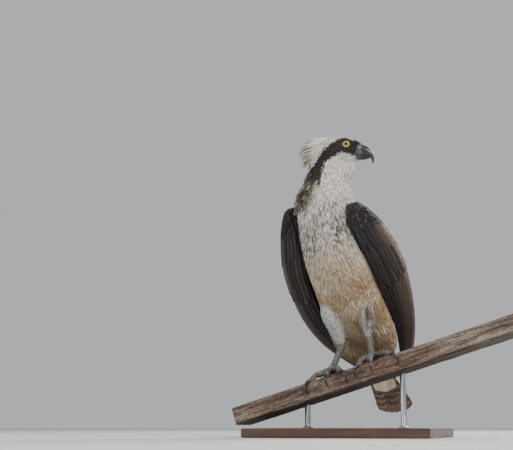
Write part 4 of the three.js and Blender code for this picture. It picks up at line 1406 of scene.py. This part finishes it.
# Each ring of skin round the eye: name, opening, radius, height over the eyeball and colour.
LIDS = [
    ("lid_", 0.8, 1.0, 0.25, linear(34, 32, 33)),
    ("brow_ring_", 0.93, 1.5, -0.1, linear(46, 42, 40)),
]
eye_material, tree, shader = material(
    "eye", 0.12, Coat_Weight=0.6, Specular_IOR_Level=0.25, Coat_Roughness=0.02
)
iris = ramp(node(tree, "Attribute", output="Fac", attribute_name="Gaze"), IRIS_STOPS)
fleck = fitted(noise(tree, 900, 4), 0.3, 0.7, 0.72, 1.1)
plug(shader.inputs["Base Color"], shaded(iris, fleck))


def eyeball(name, centre, gaze, aside, above):
    theta = np.linspace(0.02, math.pi - 0.02, 60)[:, None, None]
    ring = swung(theta, gaze, swung(circle(64)[None, :, None], aside, above))
    bulge = EYE["radius"] + 0.35 * np.exp(-((theta / 0.5) ** 2))
    points, faces = tube(centre + ring * bulge)
    ball = mesh_object("eyeball_" + name, points, faces, eye_material, slot="eye")
    away = np.concatenate([np.repeat(theta.ravel() / (math.pi / 2), 64), [0, 2]])
    write(ball.data.attributes.new("Gaze", "FLOAT", "POINT").data, "value", away)
    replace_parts(ball, "eye_" + name)


def lid_ring(name, centre, gaze, aside, above, opening, radius, height, colour):
    """A soft ring of skin round the eye, drawn out to its two corners and flatter above."""
    turn = circle(72)
    corner = np.abs(np.cos(turn)) ** 6 * 0.13
    lift = np.where(np.sin(turn) > 0, -0.1, 0.0) * np.abs(np.sin(turn))
    wide = (opening + corner + lift)[:, None]
    line = swung(wide, gaze, swung(turn[:, None], aside, above))
    out = unit(line)
    over = np.cross(unit(np.roll(line, -1, axis=0) - np.roll(line, 1, axis=0)), out)
    tube_ring = swung(circle(12)[None, :, None], out[:, None], over[:, None])
    points = (centre + line * (EYE["radius"] + height))[:, None] + tube_ring * radius
    # The last ring of the tube joins the first.
    faces = grid_faces(73, 12) % (72 * 12)
    mesh_object(name, points, [faces], lid_material, np.tile(colour, (72 * 12, 1)), slot="eye")


for sign, name in ((-1, "right"), (1, "left")):
    gaze = unit(np.array([0.24, sign * 0.96, -0.03]))
    aside = unit(np.cross(Z, gaze))
    placed = (eye_centre(sign), gaze, aside, np.cross(gaze, aside))
    eyeball(name, *placed)
    for prefix, *sizes in LIDS:
        lid_ring(prefix + name, *placed, *sizes)

# Shanks and feet
PALM = {"radius": 9.5, "height": 8.5}
TOES = {
    "inner": {"turn": -38, "length": 40, "drop": 8, "claw": 1.0, "arc": 150},
    "middle": {"turn": 2, "length": 43, "drop": 8, "claw": 1.0, "arc": 155},
    "outer": {"turn": 56, "length": 45, "drop": 6, "claw": 1.02, "arc": 150},
    "hind": {"turn": 186, "length": 30, "drop": 0, "claw": 1.15, "arc": 78},
}
TOE_RADII = [5.6, 5.2, 5.6, 4.6, 4.6, 3.4]
CLAW = {"radius": 12.2, "thick": 2.7}
TOE_HEIGHTS = (8.5, 9.6, 8.2, 8.4, 7.4, 7.0)
FOOT_GREY = linear(118, 118, 110)
CLAW_BLACK = linear(26, 25, 27)


def foot_point(leg):
    x, y = leg["foot"]
    return on_perch(x, y, x * math.tan(BEAM["slope"]))


def scaly_colours(points):
    tone = 0.85 + 0.22 * wobble(points, 8, 31)[:, None] + 0.12 * wobble(points, 2.5, 32)[:, None]
    return np.tile(FOOT_GREY, (len(points), 1)) * tone


def scaly_limb(path, radii, side, sides, steps, flatness, pads):
    """A limb with rows of low cross scales on its front and pads below its joints."""
    points, faces = limb(path, radii, side, sides, steps, flatness)
    rings = points[: steps * sides].reshape(steps, sides, 3)
    middle = rings.mean(1, keepdims=True)
    t = np.linspace(0, 1, steps)[:, None]
    angle = circle(sides)[None]
    rows = 0.35 * np.maximum(0, np.sin(t * pads * 2 * math.pi)) * smooth(np.sin(angle), -0.3, 0.5)
    warts = 0.25 * np.sin(t * 190 + angle * 4) * np.sin(angle * 9 + t * 31)
    knuckle = 0.9 * np.maximum(0, np.sin(t * 3 * math.pi)) ** 4 * smooth(-np.sin(angle), -0.2, 0.6)
    rings = rings + unit(rings - middle) * (rows + warts + knuckle)[..., None]
    points[: steps * sides] = rings.reshape(-1, 3)
    return points, faces


def foot_piece(name, form):
    points, faces = form
    return mesh_object(name, points, faces, scale_material, scaly_colours(points), slot="foot_skin")


def shank(leg_name, ankle, foot):
    path = [ankle + [0, 1, 3], ankle, *(mix(ankle, foot, share) for share in (0.25, 0.6, 0.9)), foot]
    form = scaly_limb(np.array(path), [6.4, 6.8, 5.6, 5.4, 6.4, 7], X, 40, 90, 1.0, 11)
    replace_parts(foot_piece("shank_" + leg_name, form), "tarsus_" + leg_name)


def palm(leg_name, foot):
    latitude = np.linspace(-math.pi / 2 + 0.06, math.pi / 2 - 0.06, 30)[:, None]
    longitude = circle(44)[None]
    ball = [
        np.cos(latitude) * np.cos(longitude) * 1.08,
        np.cos(latitude) * np.sin(longitude),
        np.sin(latitude) * 0.86 + 0 * longitude,
    ]
    lumps = 1 + 0.035 * np.sin(longitude * 9 + latitude * 7) * np.sin(latitude * 13)
    rings = np.stack(ball, axis=-1) * lumps[..., None] * PALM["radius"]
    foot_piece("palm_" + leg_name, tube(foot - OFF_BEAM * 0.6 + rings))


def digit(full, start, heading, side, toe):
    """One toe, which arches off the timber and drops at its tip. Returns where it ends."""
    path = []
    for share, height in zip(np.linspace(0, 1, 6), TOE_HEIGHTS):
        fall = toe["drop"] * float(smooth(share, 0.6, 1))
        path.append(start + heading * mix(5, toe["length"], share) + OFF_BEAM * (height - fall))
    form = scaly_limb(np.array(path), TOE_RADII, side, 32, 54, 0.95, 9)
    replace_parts(foot_piece("digit_" + full, form), "toe_" + full)
    return path[-1]


def talon(full, spot, heading, side, toe):
    """One claw: an arc that starts inside the toe's tip, wider where the arc is short."""
    radius = (1.55 if toe["arc"] < 100 else 1) * CLAW["radius"] * toe["claw"]
    pitch = math.radians(14 if toe["drop"] > 0 else -12)
    arc = math.radians(toe["arc"])
    curve = []
    radii = []
    for k in range(9):
        curve.append(spot)
        radii.append(CLAW["thick"] * (1 - (k / 8) ** 1.6) + 0.2)
        angle = pitch + arc * k / 8
        spot = spot + (heading * math.cos(angle) - OFF_BEAM * math.sin(angle)) * (radius * arc / 8)
    points, faces = limb(np.array(curve), radii, side, 24, 40)
    colours = np.tile(CLAW_BLACK, (len(points), 1)) * (0.9 + 0.3 * wobble(points, 5, 41)[:, None])
    piece = mesh_object("talon_" + full, points, faces, claw_material, colours, slot="claw")
    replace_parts(piece, "claw_" + full)


for leg_name, leg in LEGS.items():
    start = foot_point(leg)
    foot = start + OFF_BEAM * PALM["height"]
    shank(leg_name, on_perch(*leg["ankle"]), foot)
    palm(leg_name, foot)
    for toe_name, toe in TOES.items():
        turn = math.radians(toe["turn"] * leg["sign"])
        heading = -Y * math.cos(turn) + ALONG * math.sin(turn)
        side = np.cross(heading, OFF_BEAM)
        full = f"{leg_name}_{toe_name}"
        tip = digit(full, start, heading, side, toe)
        talon(full, tip - heading * 1.5 + OFF_BEAM, heading, side, toe)

# Perch: a weathered length of sawn timber, its worn faces cut inwards from the solid's box
BEAM_TURN = (0.0, -BEAM["slope"], 0.0)
TIMBER_STOPS = [
    (0.38, linear(60, 49, 43)),
    (0.47, linear(100, 85, 76)),
    (0.54, linear(126, 113, 103)),
    (0.64, linear(160, 150, 138)),
]
BEVEL = 2.2
CRACK_DEPTH = 17
timber_material, tree, shader = material("timber", 0.88)
long_grain = noise(tree, 320, 6, drawn=(14.0, 1.0, 1.0), turned=BEAM_TURN)
patches = noise(tree, 24, 4, drawn=(4.0, 1.0, 1.0), turned=BEAM_TURN)
crumbs = noise(tree, 900, 5, drawn=(3.0, 1.0, 1.0), turned=BEAM_TURN)
grain = ramp(long_grain * 0.5 + crumbs * 0.5, TIMBER_STOPS)
warmth = mixed(tree, fitted(patches, 0.42, 0.58), (0.84, 0.71, 0.64), (0.96, 1.0, 1.03))
plug(shader.inputs["Base Color"], multiplied(multiplied(grain, warmth), painted_colour(tree)))
bump(shader, long_grain + crumbs * 0.8, 0.9, 0.0014)


def beam_section(half, thick):
    """One cross-section, walked round from the front top edge, with worn corners."""
    low = BEVEL - thick
    corners = [
        (-half, -BEVEL, 4),
        (BEVEL - half, 0, 46),
        (half - BEVEL, 0, 4),
        (half, -BEVEL, 16),
        (half, low, 4),
        (half - BEVEL, -thick, 30),
        (BEVEL - half, -thick, 4),
        (-half, low, 20),
    ]
    sides = []
    for (*start, number), (*end, _) in zip(corners, corners[1:] + corners[:1]):
        share = np.arange(number)[:, None] / number
        sides.append(mix(np.array([start], float), np.array([end], float), share))
    return np.concatenate(sides)


def beam_piece():
    slant = math.cos(BEAM["slope"])
    length = (BEAM["right"] - BEAM["left"]) / slant
    centre = PERCH_TOP + ALONG * ((BEAM["right"] + BEAM["left"]) / 2 / slant)
    half = BEAM["width"] / 2
    thick = BEAM["thick"]
    section = beam_section(half, thick)
    steps = 230
    grid = np.zeros((steps, len(section), 3))
    grid[..., 0] = np.linspace(-length / 2, length / 2, steps)[:, None]
    grid[..., 1:] = section[None]
    spots = grid.reshape(-1, 3)
    x, y, z = spots.T
    stretched = spots * [0.14, 1, 1]
    wear = 0.5 + 0.5 * wobble(stretched, 5, 51)
    groove = np.clip(wobble(stretched * [0.5, 1, 1], 3.2, 52) - 0.3, 0, 1)
    crack = np.exp(-(((z + CRACK_DEPTH + 3.5 * wobble(spots * [0.4, 0, 0], 9, 53)) / 0.8) ** 2))
    crack = crack * (y < -half + 4) * smooth(x, -120, 40)
    corner = (np.abs(np.abs(y) - half) < 3.5) & (np.minimum(-z, z + thick) < 3.5)
    chips = np.clip(wobble(spots * [0.5, 1, 1], 10, 54) - 0.45, 0, 1) * corner
    depth = 0.25 * wear + 0.8 * groove + 1.6 * crack + 3.2 * chips
    inward = np.stack([0 * x, -y, -thick / 2 - z], axis=-1)
    face = np.abs(y) > half - 1
    inward[face, 2] *= 0.15
    inward[~face, 1] = 0
    moved = spots + unit(inward) * depth[:, None]
    ends = np.abs(x) > length / 2 - 0.1
    moved[ends] *= [1, 0.985, 1]
    placed = centre + (ALONG * moved[:, :1] + Y * moved[:, 1:2] + OFF_BEAM * moved[:, 2:])
    points, faces = tube(placed.reshape(grid.shape))
    # Lighter where it is worn on top; darker and smoother underneath, which is painted shade; and dark down
    # the cracks and grooves, which is painted shade in them.
    tone = 1.06 - 0.55 * smooth(z, -thick + 3, -thick) - 0.5 * crack - 0.45 * groove + 0.12 * (wear - 0.5)
    colours = np.tile(linear(244, 238, 230), (len(spots), 1)) * tone[:, None]
    colours = np.concatenate([colours, np.tile(linear(150, 134, 116), (2, 1))])
    slot = "weathered_timber"
    beam = mesh_object("perch_timber", points, flipped(faces), timber_material, colours, slot=slot)
    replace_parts(beam, "perch_beam")


beam_piece()

# Stand: dark oiled wood under the two steel rods
WOOD_STOPS = [(0.36, linear(38, 25, 18)), (0.5, linear(68, 45, 31)), (0.64, linear(94, 64, 44))]
BASE_TOP = 16
ROD_RADIUS = 5
COLLAR = 5.5
# The rod's foot: radius, and height over the base.
ROD_FOOT = [(0.2, 0.05), (8.0, 0.05), (8.6, 0.7), (8.6, 2.0), (7.6, 2.9), (5.7, 3.2), (ROD_RADIUS, 4.2)]
# The rod's head: radius, and height over its lowest place under the timber.
ROD_HEAD = [(ROD_RADIUS, -2.6), (COLLAR, -2.2), (COLLAR, -0.6), (ROD_RADIUS, 0), (0.2, 0.1)]
wood_material, tree, shader = material("stand_wood", 0.38, Coat_Weight=0.25, Coat_Roughness=0.3)
rings = noise(tree, 34, 6, drawn=(6.0, 1.0, 1.0), turned=(0.0, 0.0, 0.05))
fine = noise(tree, 340, 5, drawn=(20.0, 1.0, 1.0))
plug(shader.inputs["Base Color"], ramp(rings * 0.75 + fine * 0.25, WOOD_STOPS))
bump(shader, fine, 0.15, 0.0004)
steel_material, tree, shader = material(
    "rod_steel", 0.32, Metallic=1.0, Base_Color=linear(176, 178, 180)
)
brushed = noise(tree, 900, 3, drawn=(1.0, 1.0, 12.0))
plug(shader.inputs["Roughness"], fitted(brushed, 0.3, 0.7, 0.25, 0.42))
bump(shader, brushed, 0.08, 0.0003)
stand_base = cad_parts["stand_base"]
stand_base.data.materials.clear()
stand_base.data.materials.append(wood_material)


def rod_piece(name, x):
    """A turned steel rod with a low collar on the base and another under the timber."""
    slope = math.tan(BEAM["slope"])
    underside = PERCH_HEIGHT + x * slope - BEAM["thick"] / math.cos(BEAM["slope"])
    low = underside - ROD_RADIUS * slope - 0.4
    profile = [(radius, BASE_TOP + rise) for radius, rise in ROD_FOOT]
    profile += [(radius, low + rise) for radius, rise in ROD_HEAD]
    round_rod = swung(circle(48)[:, None], X, Y)
    points, faces = tube([np.array([x, PERCH_Y, z]) + r * round_rod for r, z in profile])
    # The rod's top is cut to the slope of the timber's underside.
    high = points[:, 2] > low - 4
    points[high, 2] += (points[high, 0] - x) * slope * 0.9
    rod = mesh_object(name + "_turned", points, faces, steel_material, slot="rod_steel")
    edges = rod.modifiers.new("edges", "EDGE_SPLIT")
    edges.split_angle = math.radians(38)
    applied(rod)
    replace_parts(rod, name)


rod_piece("stand_rod_left", 98)
rod_piece("stand_rod_right", -72)

# Floor and light
FLOOR_RADIUS = 4500
floor_material, tree, shader = material("floor", 0.85)
floor_colour = ramp(noise(tree, 6, 3), [(0.3, (0.56, 0.56, 0.555)), (0.7, (0.6, 0.6, 0.595))])
plug(shader.inputs["Base Color"], floor_colour)
disc = FLOOR_RADIUS * swung(circle(72)[:, None], X, Y) - [0, 0, 0.05]
points, faces = tube(np.stack([disc, disc - [0, 0, 6]]))
mesh_object("floor", points, flipped(faces), floor_material, smooth_shading=False)


def area_light(name, place, aim, size, power, colour):
    light = bpy.data.lights.new(name, "AREA")
    light.shape = "DISK"
    light.size = size
    light.energy = power
    light.color = colour
    made = bpy.data.objects.new(name, light)
    bpy.context.scene.collection.objects.link(made)
    made.location = place
    made.rotation_mode = "QUATERNION"
    made.rotation_quaternion = (Vector(aim) - Vector(place)).to_track_quat("-Z", "Y")


AIM = (0, 0, 0.32)
area_light("key", (1.7, -1.2, 2.1), AIM, 1.0, 70, (1.0, 0.975, 0.94))
area_light("fill", (-1.9, -1.5, 0.9), AIM, 1.8, 26, (0.94, 0.965, 1.0))
area_light("rim", (0.9, 1.9, 1.8), AIM, 1.0, 60, (1.0, 0.98, 0.95))
area_light("low", (0.3, -1.9, 0.12), (0, 0, 0.3), 1.0, 5, (1.0, 0.99, 0.97))
world = bpy.data.worlds.new("studio")
world.use_nodes = True
world.node_tree.nodes["Background"].inputs[0].default_value = (0.86, 0.88, 0.9, 1)
world.node_tree.nodes["Background"].inputs[1].default_value = 0.6
bpy.context.scene.world = world
